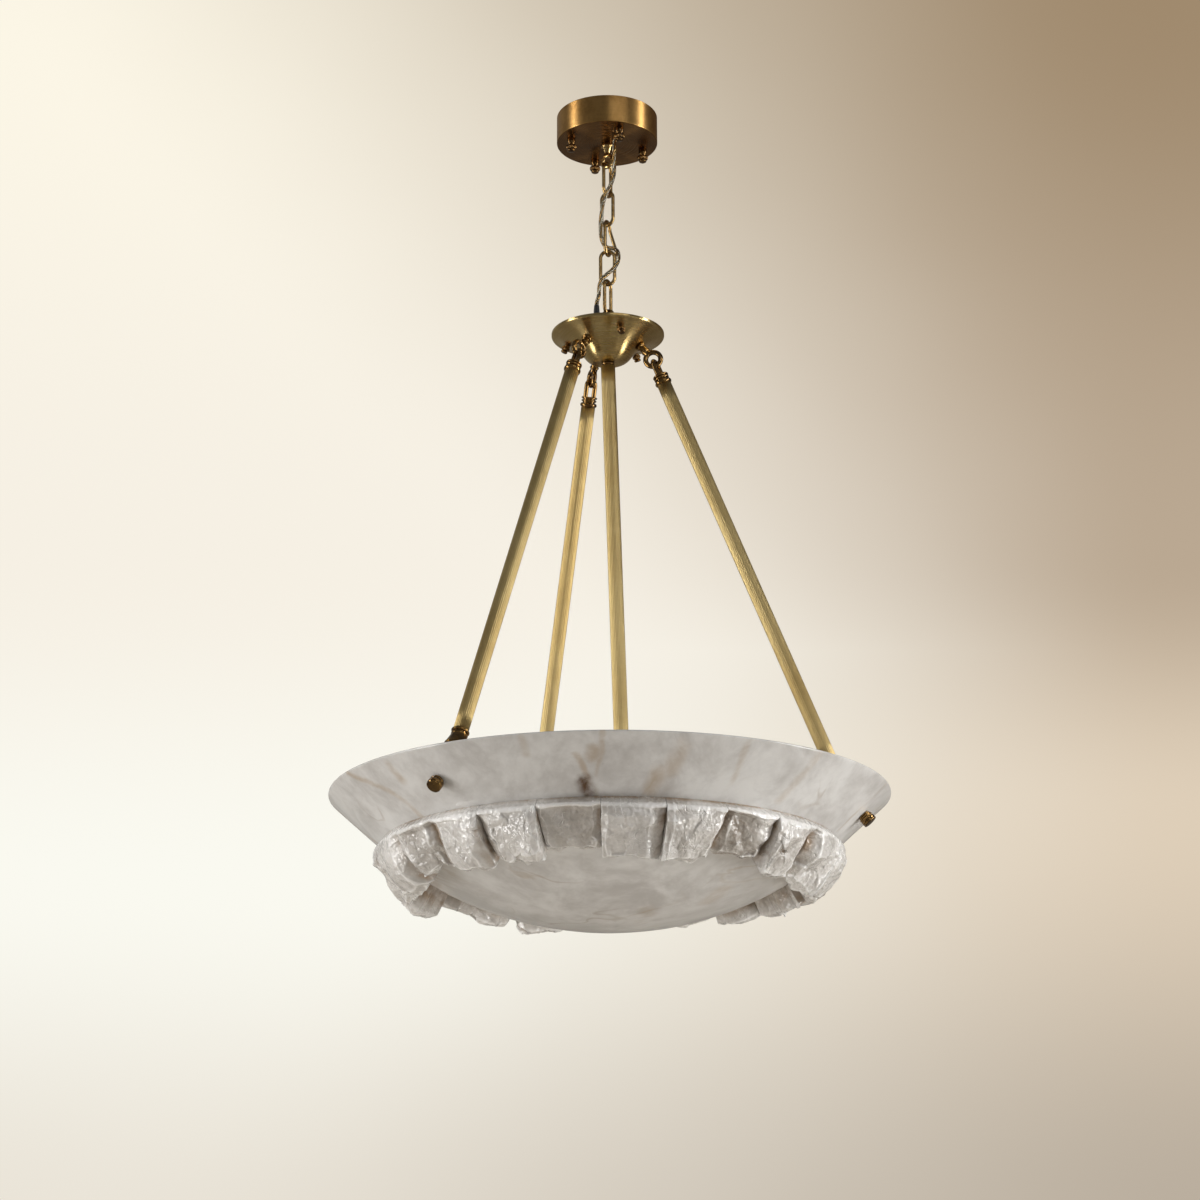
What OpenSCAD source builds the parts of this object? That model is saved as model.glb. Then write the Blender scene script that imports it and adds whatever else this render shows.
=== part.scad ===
// Pendant light: an alabaster bowl with a band of rough stone blocks, hung from a round
// canopy by a short chain, a turned hub and three reeded brass rods.
// Millimetres. +Z is up, and z = 0 is the ceiling that the canopy is screwed to.
// An azimuth is counted from -Y, the front, towards +X.

/* [Canopy] */
// Outside diameter of the canopy drum
canopy_d = 116; // [112:1:124]
// Height of the canopy drum
canopy_h = 33; // [31:1:40]
// Wall thickness of the drum
canopy_wall = 1.6; // [1.2:0.1:2]
// Thickness of the drum's floor
canopy_floor = 2.4; // [2:0.1:3.2]
// Radius of the circle that the four thumb nuts stand on
nut_circle_r = 43.5; // [42:0.5:45]
// Azimuth of the first thumb nut
nut_azimuth = 19; // [12:1:26]
// Distance between the two ceiling screws
ceiling_hole_spacing = 60; // [56:1:64]
// Diameter of the ceiling screw holes
ceiling_hole_d = 5.5; // [4.5:0.1:6]

/* [Chain] */
// Wire diameter of links and loops
chain_wire = 4; // [3.7:0.1:4.1]
// Outside length of a link
link_len = 45; // [43:0.5:48]
// Outside width of a link
link_w = 20; // [19.5:0.5:21]
// Play between a link and its neighbour
link_gap = 0.3; // [0.2:0.1:0.4]
// Length of the opened link's free leg
free_leg = 33; // [28:1:34]
// Angle at which the free leg stands off
free_leg_angle = 16; // [14:1:20]

/* [Hub] */
// Radius of the hub at its rim
hub_r = 63.6; // [62.6:0.2:68]
// Wall thickness of the hub's flare
hub_wall = 3.2; // [2.8:0.1:3.8]
// Thickness of the hub's cover
cover_t = 2; // [1.5:0.1:2.4]
// Slope of the flare where the screw eyes sit
eye_slope = 40; // [38:0.5:42]
// Azimuth of the left rod; the others follow at 120 degree steps
rod_azimuth = -39; // [-45:1:-33]

/* [Rods] */
// Diameter over the reeding
rod_d = 16; // [15.4:0.2:17]
// Length of one rod tube
rod_len = 475.8; // [440:0.2:520]
// Number of grooves round a rod
rod_grooves = 24; // [20:1:28]
// Lean of the centre stem
stem_lean = 1.7; // [0:0.1:2]

/* [Bowl] */
// Outside radius of the bowl at its rim
bowl_r = 300; // [285:1:320]
// Depth of the bowl from rim to bottom
bowl_depth = 140; // [134:1:150]
// Wall thickness of the bowl
bowl_wall = 14; // [12:0.5:16]
// Angle of the bowl's upper wall from level, at the photographed depth and radius
wall_tilt = 42; // [41:0.5:43]
// Depth of the wall bolts below the rim, as a share of the bowl's depth
bolt_share = 0.2036; // [0.18:0.002:0.214]
// Radius of the rim's outer edge
rim_round = 1.5; // [1:0.1:2]

/* [Stone band] */
// How far the blocks stand out, against the photographed object
rock_out = 1; // [0.85:0.05:1.1]
// Seed of the blocks' facets
rock_seed = 7; // [1:1:40]
// Gap between neighbouring blocks in degrees
rock_gap = 0.5; // [0.3:0.1:1]

/* [Lamps] */
// Diameter of a bulb
bulb_d = 60; // [50:1:64]
// Length of a bulb without its cap
bulb_len = 86; // [80:1:94]

/* [Hidden] */
$fn = 48;
brass = [0.72, 0.58, 0.34];
dark_brass = [0.45, 0.30, 0.14];
steel = [0.62, 0.62, 0.63];
stone = [0.88, 0.85, 0.82];
white = [0.92, 0.91, 0.88];
black = [0.06, 0.06, 0.06];
clear = [0.80, 0.78, 0.70];
fit = 0.05;

// Canopy levels
canopy_r = canopy_d / 2;
plate_t = 2.5;
plate_r = 50;
boss_t = 6;
boss_r = 13;
z_floor = -canopy_h;
z_boss = z_floor + canopy_floor + boss_t;
stud_r = 2;
nut_len = 16.3;
nipple_r = 5;
flex_r = 2.3;
block_x = [20, 34];
block_y = [-36, -8];
block_h = 14;

// Chain levels: a hinge lies on the axis of the upper wire of each contact
loop_r = 7;
loop_drop = 22.3;
hub_loop_drop = 21.5;
link_b = (link_w - chain_wire) / 2;
link_half = link_len / 2 - link_w / 2;
pitch = link_len - 2 * chain_wire - link_gap;
step = chain_wire + link_gap;
z_loop = z_floor - loop_drop;
z_hinge_1 = z_loop - loop_r;
z_link_1 = z_hinge_1 + step - (link_len - chain_wire) / 2;
link_turn = [60, -36, 70, -8, 64];
canopy_loop_turn = -40;
hub_loop_turn = -30;
z_hinge_6 = z_hinge_1 - 5 * pitch;
z_hub_loop = z_hinge_6 + step - loop_r;

// Hub levels and the flare, an arc that is tangent to the bottom round
z_hub = z_hub_loop - hub_loop_drop;
flare_c = [hub_r + 10.5, z_hub - 61];
flare_r = 58.3;
round_c = [hub_r - 51.2, z_hub - 17.8];
round_r = 17;
flare_end = [hub_r - 37.3, z_hub - 27.6];
z_hub_floor = z_hub - 28.8;
z_hub_bottom = z_hub - 34.8;
knob_slope = 28;
knob_azimuth = 18;
relief_x = -12.5;
relief_y = -7;
relief_h = 32;
plug_r = 4.45;

// Rod suspension in the plane of one rod: the screw eye's ring centre and the wall bolt
eye_wire = 5.8;
eye_ring_r = 8.5;
eye_shank = 23;
eye_seat = 0.4;
ring_x = flare_c[0] - (flare_r - eye_shank) * sin(eye_slope);
ring_z = flare_c[1] + (flare_r - eye_shank) * cos(eye_slope);
u_wire = 5.2;
u_r = 6;
u_top = eye_ring_r - (eye_wire + u_wire) / 2 - 0.3;
// Turn of each U from square to its screw eye
u_turn = [-20, -20, 20];
collar_top = 21.5;
rod_top = 33.5;
ball_below = 40.2;
ball_d = 20;
s_ball = rod_top + rod_len + ball_below;
standoff = 12.45;
gasket_t = 2;
bolt_r = 3;
photo_bowl = [300, 140];
wall_angle = atan(tan(wall_tilt) * (bowl_depth / bowl_r) / (photo_bowl[1] / photo_bowl[0]));
bolt_drop = bolt_share * bowl_depth;
corner_r = bowl_r + rim_round * (1 / tan(wall_angle / 2) - 1);
face_x = corner_r - bolt_drop / tan(wall_angle);
ball_x = face_x - (standoff + bowl_wall) * sin(wall_angle);
rod_lean = asin((ball_x - ring_x) / s_ball);
ball_z = ring_z - s_ball * cos(rod_lean);
face_z = ball_z - (standoff + bowl_wall) * cos(wall_angle);
z_rim = face_z + bolt_drop;

// Bowl: a cone that runs tangent into a sphere
bowl_R = (corner_r * tan(wall_angle) - bowl_depth) / (1 / cos(wall_angle) - 1);
z_sphere = z_rim - bowl_depth + bowl_R;

// Stem and lamps, in the stem's leaning frame
z_pivot = z_hub_bottom - 3.5;
stem_top = 1.2;
stem_len = (z_pivot - z_rim - 6.7) / cos(stem_lean) - stem_top;
stem_end = stem_top + stem_len;
lamp_azimuths = [21, 141, 261];
lamp_lean = 98;
lamp_level = 13;

// Route of the clear flex. Each stretch ends level with the middle of a link.
// From hinge 1 down, the z values are for a pitch of 36.7 and scale with the pitch.
route_top = [[20, -20, -10], [18.5, -20, -10], [14.4, -19.4, -11.2], [11.4, -17.6, -14.3]];
route_floor = [[9.9, -14.8, 14], [8.8, -11.8, 7], [8, -10.4, 0], [8, -10, -8], [8, -9.5, -16], [8, -9, -23]];
route_chain = [
    [8, -8.5, -3], [8, -8, -9], [7, -8.5, -16.2],
    [4.5, -9.5, -25], [0.5, -9.5, -34], [-3, -9.5, -43], [-5.5, -10, -52.9],
    [-6.5, -9.5, -62], [-7.6, -8, -71], [-7.7, -6, -80], [-7, -3, -89.6],
    [-4, 0.5, -96.7], [0.5, 1.8, -100.2], [6, 0.6, -101.7], [11, -1.6, -105.7],
    [12.5, -4, -112.7], [12, -6, -119.7], [9.5, -7.5, -126.3],
    [5.5, -9, -132.2], [0, -10, -137.7], [-5.5, -9.5, -143.2], [-9, -9, -151], [-10, -8.5, -163],
    [-11.2, -7.75, -167.7]];
// The last stretch runs straight through the strain relief
route_hub = [
    [relief_x + 0.3, relief_y - 0.18, relief_h + 4],
    for (z = [relief_h + 1.5, relief_h - 0.5, 6, -5]) [relief_x, relief_y, z]];
route = concat(
    route_top,
    [for (p = route_floor) [p[0], p[1], p[2] + z_floor]],
    [for (p = route_chain) [p[0], p[1], z_hinge_1 + p[2] * pitch / 36.7]],
    [for (p = route_hub) [p[0], p[1], p[2] + z_hub]]);
// Index of the first ring of each of the six stretches, and of the last ring
flex_cut = [0, 12, 16, 20, 27, 32, 38];

// Stone band: 24 blocks, each with its own way of standing out
rock_step = 15;
rock_start = -2;
// Rows from the top edge down: distance below the cone's foot along the sphere, and height off it
rock_rows = [[17.5, 11], [26, 18], [36, 23], [48, 26.5], [60, 29], [72, 31]];
function row_polar(r) = wall_angle - rock_rows[r][0] / bowl_R * 180 / PI;
// Per block: extra height, shift of the lower edge in degrees, length of the lower edge in degrees,
// and how much more its right side stands out than its left
rock_kind = [
    [2, 0, -0.1, 2], [2, -2.6, 0, -5], [-7, -1.8, 0.3, 3], [3, -1.2, -0.3, -4],
    [0, 0.8, -1.1, 5], [3, 0.4, -0.4, -4], [-3, 0.8, 0.3, 3], [2, -0.8, -0.5, -4],
    [0, 0.6, 0.2, 4], [2, -0.6, -0.4, -3], [-6, 0.9, 0.8, 3], [-5, -0.7, 0.9, -3],
    [-4, 0.5, 0.7, 2], [6, -0.9, -0.2, -3], [0, 0.8, 0.1, 3], [-8, -0.5, 0.8, -2],
    [0, 0.7, -0.3, 3], [-3, -0.8, 0.3, -4], [2, 0.9, -0.4, 4], [4, 1.4, -0.8, -5],
    [-4, 1.6, 0.2, -3], [1, 2.2, 0, 5], [2, 2.2, -0.2, 4], [-7, 0.6, 0.5, 1]];

// Turns the radial XZ plane to an azimuth
module spoke(azimuth) {
    rotate([0, 0, azimuth - 90]) children();
}

// Frame at [x, z] of the radial plane whose -Z points down and outwards by a lean
module leaning(x, z, lean) {
    translate([x, 0, z]) rotate([0, -lean, 0]) children();
}

// Frame on the hub's flare, at the place with a given slope
module on_flare(slope) {
    leaning(flare_c[0] - flare_r * sin(slope), flare_c[1] + flare_r * cos(slope), slope) children();
}

module each_rod() {
    for ($rod = [0:2]) spoke(rod_azimuth + 120 * $rod) children();
}

module each_knob() {
    for (k = [0:2]) spoke(knob_azimuth + 120 * k) children();
}

// Turned bead from height a down to b with a full round edge
module bead(r, a, b) {
    e = (a - b) / 2;
    rotate_extrude() {
        translate([0, b]) square([r - e, a - b]);
        translate([r - e, b + e]) circle(e);
    }
}

// Rod from height a down to b
module pin(r, a, b) {
    translate([0, 0, b]) cylinder(r = r, h = a - b);
}

// Upright torus in the XZ plane
module ring_xz(r, wire) {
    rotate([90, 0, 0]) rotate_extrude() translate([r, 0]) circle(wire / 2);
}

// Upper half of an upright torus
module arch_xz(r, wire) {
    rotate([90, 0, 0]) rotate_extrude(angle = 180) translate([r, 0]) circle(wire / 2);
}

// Hexagonal nut with a bore
module hex_nut(across, a, b, bore) {
    difference() {
        translate([0, 0, b]) linear_extrude(a - b) circle(r = across / sqrt(3), $fn = 6);
        pin(bore, a + 1, b - 1);
    }
}

module mounting_bracket() color(steel) difference() {
    pin(plate_r, 0, -plate_t);
    for (s = [-1, 1]) translate([s * ceiling_hole_spacing / 2, 0, 0])
        pin(ceiling_hole_d / 2, 1, -plate_t - 1);
    pin(6, 1, -plate_t - 1);
    for (k = [0:3]) spoke(nut_azimuth + 90 * k) translate([nut_circle_r, 0, 0]) {
        pin(stud_r + 0.15, 1, -plate_t - 1);
        translate([0, 0, -2]) cylinder(r1 = stud_r + 0.15, r2 = stud_r + 2.25, h = 2.1);
    }
    for (s = [-1, 1]) translate([0, s * 24, 0]) {
        translate([-7, -2.5, -plate_t - 1]) cube([14, 5, plate_t + 2]);
        for (e = [-7, 7]) translate([e, 0, 0]) pin(2.5, 1, -plate_t - 1);
    }
}

// Countersunk screws that carry the canopy
module bracket_studs() color(steel)
    for (k = [0:3]) spoke(nut_azimuth + 90 * k) translate([nut_circle_r, 0, 0]) {
        difference() {
            translate([0, 0, -2.1]) cylinder(r1 = stud_r, r2 = stud_r + 1.9, h = 2);
            translate([-2.5, -0.4, -1]) cube([5, 0.8, 2]);
        }
        pin(stud_r, -2, z_floor - 10);
    }

module terminal_block() color(white) difference() {
    translate([block_x[0], block_y[0], -plate_t - block_h])
        cube([block_x[1] - block_x[0], block_y[1] - block_y[0], block_h]);
    for (y = [block_y[0] + 5, (block_y[0] + block_y[1]) / 2, block_y[1] - 5])
        translate([block_x[0] + 4, y, -plate_t - block_h]) pin(2, 5, -1);
    for (y = [block_y[0] + 9.5, block_y[1] - 9.5])
        translate([block_x[0] - 1, y - 0.6, -plate_t - block_h - 1])
            cube([block_x[1] - block_x[0] + 2, 1.2, 7]);
}

module canopy() color(brass) difference() {
    union() {
        rotate_extrude() difference() {
            union() {
                translate([0, z_floor]) square([canopy_r - 1, canopy_h]);
                translate([0, z_floor + 1]) square([canopy_r, canopy_h - 1]);
                translate([canopy_r - 1, z_floor + 1]) circle(1);
            }
            translate([-1, z_floor + canopy_floor]) square([canopy_r - canopy_wall + 1, canopy_h]);
        }
        pin(boss_r, z_boss, z_floor + canopy_floor / 2);
    }
    pin(nipple_r + fit, 1, z_floor - 1);
    translate([8, -10.4, 0]) pin(3.2, 1, z_floor - 1);
    for (k = [0:3]) spoke(nut_azimuth + 90 * k) translate([nut_circle_r, 0, 0])
        pin(stud_r + 0.4, 1, z_floor - 1);
}

// Turned thumb nuts under the floor
module thumb_nuts() color(dark_brass)
    for (k = [0:3]) spoke(nut_azimuth + 90 * k) translate([nut_circle_r, 0, z_floor]) difference() {
        union() {
            pin(4.7, 0, -6.5);
            pin(3.6, -6, -8.5);
            bead(6.3, -8, -13.8);
            bead(4.4, -13, -nut_len);
        }
        pin(stud_r + fit, 1, -11);
    }

// Hanging loop, its collar and the threaded shank
module loop_body(drop, shank) {
    ring_xz(loop_r, chain_wire);
    pin(3.6, drop - 5, loop_r - 0.4);
    translate([0, 0, loop_r + 1.2]) cylinder(r1 = 3, r2 = 5.4, h = drop - loop_r - 6.8);
    bead(7, drop, drop - 6);
    pin(nipple_r, drop + shank, drop - 1);
}

module canopy_loop() color(brass) {
    translate([0, 0, z_loop]) rotate([0, 0, canopy_loop_turn])
        loop_body(loop_drop, canopy_floor + boss_t + 8.5);
    hex_nut(16, z_boss + 6, z_boss, nipple_r + fit);
}

// One plain link round its own centre, in the XZ plane
module link_shape() {
    translate([0, 0, link_half]) arch_xz(link_b, chain_wire);
    translate([0, 0, -link_half]) rotate([0, 180, 0]) arch_xz(link_b, chain_wire);
    for (s = [-1, 1]) translate([s * link_b, 0, 0]) pin(chain_wire / 2, link_half, -link_half);
}

// Closed link with a thin slanting joint in one leg
module closed_link(i, joint_z, joint_w) {
    translate([0, 0, z_link_1 - (i - 1) * pitch]) rotate([0, 0, link_turn[i - 1]]) difference() {
        link_shape();
        translate([link_b, 0, joint_z]) rotate([0, 35, 0])
            cube([3 * chain_wire, 2 * chain_wire, joint_w], center = true);
    }
}

module link_1() color(brass) closed_link(1, 2, 0.3);
module link_2() color(brass) closed_link(2, 3, 0.3);

// The opened link: one leg is bent out of its plane and ends free
module link_3() color(brass)
    translate([0, 0, z_link_1 - 2 * pitch]) rotate([0, 0, link_turn[2]]) {
        translate([0, 0, link_half]) arch_xz(link_b, chain_wire);
        translate([0, 0, -link_half]) rotate([0, 180, 0]) arch_xz(link_b, chain_wire);
        translate([-link_b, 0, 0]) pin(chain_wire / 2, link_half, -link_half);
        translate([link_b, 0, link_half]) {
            sphere(chain_wire / 2);
            rotate([-free_leg_angle, 0, 0]) pin(chain_wire / 2, 0, -free_leg);
        }
    }

module link_4() color(brass) closed_link(4, -6, 0.8);
module link_5() color(brass) closed_link(5, 2, 0.3);

// Clear flex as a ring of eight points swept along the route
function unit(v) = v / norm(v);
function along(i) = unit(route[min(i + 1, len(route) - 1)] - route[max(i - 1, 0)]);
function side(i) = unit(cross(along(i), [0, 1, 0]));
function flex_ring(i) = [for (j = [0:7])
    let (a = 45 * j)
    route[i] + flex_r * cos(a) * side(i) + flex_r * sin(a) * cross(along(i), side(i))];

module flex(k) {
    a = flex_cut[k - 1];
    b = flex_cut[k];
    n = b - a;
    points = [for (i = [a:b]) each flex_ring(i)];
    walls = [for (i = [0:n - 1]) for (j = [0:7])
        let (p = 8 * i + j, q = 8 * i + (j + 1) % 8)
        each [[p, p + 8, q + 8], [p, q + 8, q]]];
    caps = [[for (j = [0:7]) j], [for (j = [7:-1:0]) 8 * n + j]];
    polyhedron(points = points, faces = concat(walls, caps), convexity = 4);
}

// Moulded strain relief, a cone on the cover with a plug through it
module strain_relief() color(black) translate([relief_x, relief_y, z_hub]) difference() {
    union() {
        pin(5.8, 2, 0);
        translate([0, 0, 1]) cylinder(r1 = 5, r2 = flex_r + 0.6, h = relief_h - 1);
        pin(plug_r, 1, -cover_t - 3);
    }
    pin(flex_r + fit, relief_h + 1, -cover_t - 4);
}

// Trumpet-shaped shell: a lip, the flare and a rounded bottom
module hub_solid() {
    rotate_extrude($fn = 96) difference() {
        polygon([[0, z_hub], [hub_r, z_hub], [hub_r, z_hub - 3], [hub_r - 1.6, z_hub - 4],
                 flare_end, [round_c[0], z_hub_bottom + 0.2], [0, z_hub_bottom + 0.2]]);
        translate(flare_c) circle(flare_r, $fn = 120);
    }
    rotate_extrude($fn = 96) intersection() {
        translate(round_c) circle(round_r);
        translate([0, z_hub - 60]) square([200, 60]);
    }
    pin(round_c[0], z_hub - 20, z_hub_bottom);
}

module hub_cavity() {
    pin(hub_r - 2.6, z_hub + 1, z_hub - cover_t);
    rotate_extrude($fn = 96) difference() {
        polygon([[0, z_hub + 1], [hub_r - 6.1, z_hub + 1], [hub_r - 6.1, z_hub - cover_t],
                 [hub_r - 39.6, z_hub - 22], [hub_r - 49.6, z_hub_floor], [0, z_hub_floor]]);
        translate(flare_c) circle(flare_r + hub_wall, $fn = 120);
    }
}

module hub() color(brass) difference() {
    hub_solid();
    hub_cavity();
    pin(nipple_r + fit, z_hub, z_hub_bottom - 1);
    each_rod() on_flare(eye_slope) pin(3 + fit, 12, -4);
    each_knob() on_flare(knob_slope) pin(2 + fit, 12, -4);
}

module hub_cover() color(brass) difference() {
    pin(hub_r - 2.8, z_hub, z_hub - cover_t + 0.05);
    pin(nipple_r + fit, z_hub + 1, z_hub - 6);
    translate([relief_x, relief_y, 0]) pin(plug_r + fit, z_hub + 1, z_hub - 6);
}

module hub_loop() color(brass) {
    translate([0, 0, z_hub_loop]) rotate([0, 0, hub_loop_turn]) rotate([180, 0, 0])
        loop_body(hub_loop_drop, 0);
    pin(nipple_r, z_hub + 1, z_hub_bottom - 3);
    hex_nut(16, z_hub_floor + 5, z_hub_floor, nipple_r + fit);
}

// Knurled knobs on the flare with their screws
module hub_screws() color(dark_brass)
    each_knob() on_flare(knob_slope) {
        pin(2, 6.5, -2);
        pin(3.4, -0.3, -2);
        bead(4.8, -1.8, -6.6);
        bead(3.8, -6.2, -9.8);
    }

module screw_eyes() color(dark_brass)
    each_rod() leaning(ring_x, ring_z, eye_slope) {
        ring_xz(eye_ring_r, eye_wire);
        pin(4.2, eye_shank - eye_seat - 1, eye_ring_r);
        bead(6, eye_shank - eye_seat, eye_shank - eye_seat - 3);
        bead(5.2, 14, 11.4);
        pin(3, eye_shank + 10, eye_shank - 2);
    }

// Rod ends with a U-shaped eye that hangs in the screw eye
module rod_eyes() color(dark_brass)
    each_rod() leaning(ring_x, ring_z, rod_lean) {
        rotate([0, 0, 90 + u_turn[$rod]]) translate([0, 0, -u_top - u_r]) {
            arch_xz(u_r, u_wire);
            for (s = [-1, 1]) translate([s * u_r, 0, 0]) pin(u_wire / 2, 0, -collar_top + u_top + u_r - 0.6);
        }
        bead(9, -collar_top, -collar_top - 2.4);
        pin(7, -collar_top - 1, -rod_top + 2.5);
        bead(8.6, -collar_top - 3.1, -collar_top - 5.9);
        bead(9.5, -rod_top + 5.2, -rod_top);
        pin(rod_d / 2 - 2 - fit, -rod_top + 1, -rod_top - 18);
    }

// Reeded tube between two depths of its own frame
module reeded(from, to) {
    translate([0, 0, -to]) linear_extrude(to - from) difference() {
        circle(rod_d / 2);
        circle(rod_d / 2 - 2);
        for (k = [0:rod_grooves - 1]) rotate(360 * k / rod_grooves) translate([rod_d / 2 + 0.5, 0]) circle(1);
    }
}

module rod(k) {
    spoke(rod_azimuth + 120 * k) leaning(ring_x, ring_z, rod_lean) reeded(rod_top, rod_top + rod_len);
}

module rod_left() color(brass) rod(0);
module rod_right() color(brass) rod(1);
module rod_back() color(brass) rod(2);

// Lower rod ends: collar, bell, neck, ball and the boss that the wall bolt screws into
module rod_feet() color(dark_brass)
    each_rod() difference() {
        union() {
            leaning(ring_x, ring_z, rod_lean) translate([0, 0, -rod_top - rod_len]) {
                pin(rod_d / 2 - 2 - fit, 18, -1);
                bead(9.5, 0, -3);
                pin(7.5, -2, -6);
                bead(8.8, -4.5, -7);
                translate([0, 0, -18]) cylinder(r1 = 12, r2 = 8, h = 12);
                bead(12.4, -16.5, -20.5);
                pin(6, -19, -ball_below);
            }
            translate([ball_x, 0, ball_z]) sphere(ball_d / 2);
            leaning(ball_x, ball_z, wall_angle) pin(8, 0, -standoff + gasket_t);
        }
        leaning(ball_x, ball_z, wall_angle) pin(bolt_r + fit, 6, -standoff);
    }

// Soft washers, cut to the bowl's inner face
module gaskets() color(black)
    each_rod() difference() {
        intersection() {
            leaning(ball_x, ball_z, wall_angle) pin(10, -standoff + gasket_t, -standoff - 2);
            inner_cone();
        }
        leaning(ball_x, ball_z, wall_angle) pin(bolt_r + 0.3, 0, -standoff - 3);
    }

module wall_bolts() color(dark_brass)
    each_rod() leaning(ball_x, ball_z, wall_angle) {
        pin(bolt_r, 5, -standoff - bowl_wall - 3);
        pin(6.5, -standoff - bowl_wall, -standoff - bowl_wall - 1.5);
        pin(5.5, -standoff - bowl_wall - 1, -standoff - bowl_wall - 2.5);
        bead(7.75, -standoff - bowl_wall - 2, -standoff - bowl_wall - 4);
        pin(7.75, -standoff - bowl_wall - 3, -standoff - bowl_wall - 10);
        bead(7.75, -standoff - bowl_wall - 9, -standoff - bowl_wall - 11);
    }

// Spherical cap that closes the bowl's cone, moved inwards by an inset
module cap(inset) {
    R = bowl_R - inset;
    level = z_sphere - R * cos(wall_angle);
    intersection() {
        translate([0, 0, z_sphere]) sphere(R, $fn = 240);
        pin(R * sin(wall_angle) + 3, level, z_sphere - R - 1);
    }
}

// Lower end of the bowl's cone: it overlaps the cap by 3 so that both make one body
function cone_foot(inset) =
    let (R = bowl_R - inset, x = R * sin(wall_angle), z = z_sphere - R * cos(wall_angle))
    [[0, z - 3], [x - 6, z - 3], [x, z]];

// The bowl's inner cone, from the inner cap to just above the rim
module inner_cone() {
    foot = cone_foot(bowl_wall);
    rise = z_rim + 2 - foot[2][1];
    rotate_extrude($fn = 360)
        polygon(concat([[0, z_rim + 2]], foot, [[foot[2][0] + rise / tan(wall_angle), z_rim + 2]]));
}

// Bowl with a softened outer rim; the wall bolts pass through three bores
module bowl() color(stone) difference() {
    union() {
        c = [corner_r - rim_round / tan(wall_angle / 2), z_rim - rim_round];
        cap(0);
        rotate_extrude($fn = 240) polygon(concat([[0, z_rim]], cone_foot(0),
            [for (k = [0:6]) let (a = wall_angle - 90 + k * (180 - wall_angle) / 6)
                c + rim_round * [cos(a), sin(a)]]));
    }
    inner_cone();
    cap(bowl_wall);
    each_rod() leaning(ball_x, ball_z, wall_angle) pin(4, -standoff + 3, -standoff - bowl_wall - 5);
}

// One stone block: a rough front over a patch of the bowl's sphere, cut to seat on it
function on_sphere(h, polar, azimuth) = [
    (bowl_R + h) * sin(polar) * sin(azimuth),
    -(bowl_R + h) * sin(polar) * cos(azimuth),
    z_sphere - (bowl_R + h) * cos(polar)];

module rock(i) {
    kind = rock_kind[i - 1];
    rows = len(rock_rows) - 1;
    cols = 6;
    w = cols + 1;
    n = rands(-1, 1, 4 * w * (rows + 1), rock_seed + 31 * i);
    a0 = rock_start + rock_step * (i - 1) + rock_gap / 2;
    a1 = rock_start + rock_step * i - rock_gap / 2;
    front = [for (r = [0:rows]) for (c = [0:cols])
        let (m = 4 * (w * r + c),
             edge = c == 0 || c == cols ? 1 : 0,
             down = r / rows,
             u = c / cols + (1 - edge) * 0.05 * n[m],
             lift = r == 0 ? 1.5 * n[m + 1] : kind[0] + kind[3] * (2 * u - 1) - edge * 5 + 3.2 * n[m + 1],
             slide = kind[1] * down * (1 - abs(kind[1] > 0 ? 1 - u : u)),
             polar = row_polar(r) + (r == rows ? kind[2] + 0.6 * n[m + 2] : 0.25 * n[m + 2]))
        on_sphere((rock_rows[r][1] + lift) * rock_out, polar, min(a1, max(a0, a0 + (a1 - a0) * u + slide)))];
    back = [for (r = [0:rows]) for (c = [0:cols])
        let (shift = r == 0 ? -0.2 : r == rows ? kind[2] - 0.2 : 0)
        on_sphere(-4, row_polar(r) + shift, a0 + (a1 - a0) * c / cols)];
    half = w * (rows + 1);
    grid = [for (r = [0:rows - 1]) for (c = [0:cols - 1]) let (p = w * r + c)
        each [[p, p + 1, p + w + 1], [p, p + w + 1, p + w]]];
    rear = [for (f = grid) [f[0] + half, f[2] + half, f[1] + half]];
    rim = concat([for (c = [0:cols - 1]) [c, c + 1]],
                 [for (r = [0:rows - 1]) [w * r + cols, w * r + w + cols]],
                 [for (c = [0:cols - 1]) [half - 1 - c, half - 2 - c]],
                 [for (r = [0:rows - 1]) [w * (rows - r), w * (rows - r - 1)]]);
    walls = [for (e = rim) each [[e[0], e[0] + half, e[1] + half], [e[0], e[1] + half, e[1]]]];
    color(stone) difference() {
        polyhedron(points = concat(front, back), faces = concat(grid, rear, walls), convexity = 6);
        translate([0, 0, z_sphere]) sphere(bowl_R + 0.1, $fn = 180);
    }
}

// Everything below the hub's centre follows the stem's slight lean
module stem_frame() {
    translate([0, 0, z_pivot]) rotate([0, -stem_lean, 0]) children();
}

module stem_coupling() color(dark_brass) difference() {
    union() {
        bead(7.5, z_hub_bottom, z_pivot);
        stem_frame() pin(rod_d / 2 - 2 - fit, 0.5, -22);
    }
    pin(nipple_r + fit, z_hub_bottom + 1, z_hub_bottom - 3.1);
}

module stem() color(brass) stem_frame() reeded(stem_top, stem_end);

// Turned body at the stem's foot that carries the lamp holders
module lamp_cluster() color(brass) stem_frame() difference() {
    union() {
        pin(rod_d / 2 - 2 - fit, -stem_end + 20, -stem_end - 1);
        bead(11, -stem_end, -stem_end - 3);
        pin(20, -stem_end - 2.5, -stem_end - 24);
        bead(14, -stem_end - 23, -stem_end - 27);
        pin(4, -stem_end - 26, -stem_end - 29);
        bead(6, -stem_end - 28, -stem_end - 33);
    }
    for (a = lamp_azimuths) spoke(a) leaning(0, -stem_end - lamp_level, lamp_lean) pin(5 + fit, -10, -25);
}

module lamp_frame(a) {
    stem_frame() spoke(a) leaning(0, -stem_end - lamp_level, lamp_lean) children();
}

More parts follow.
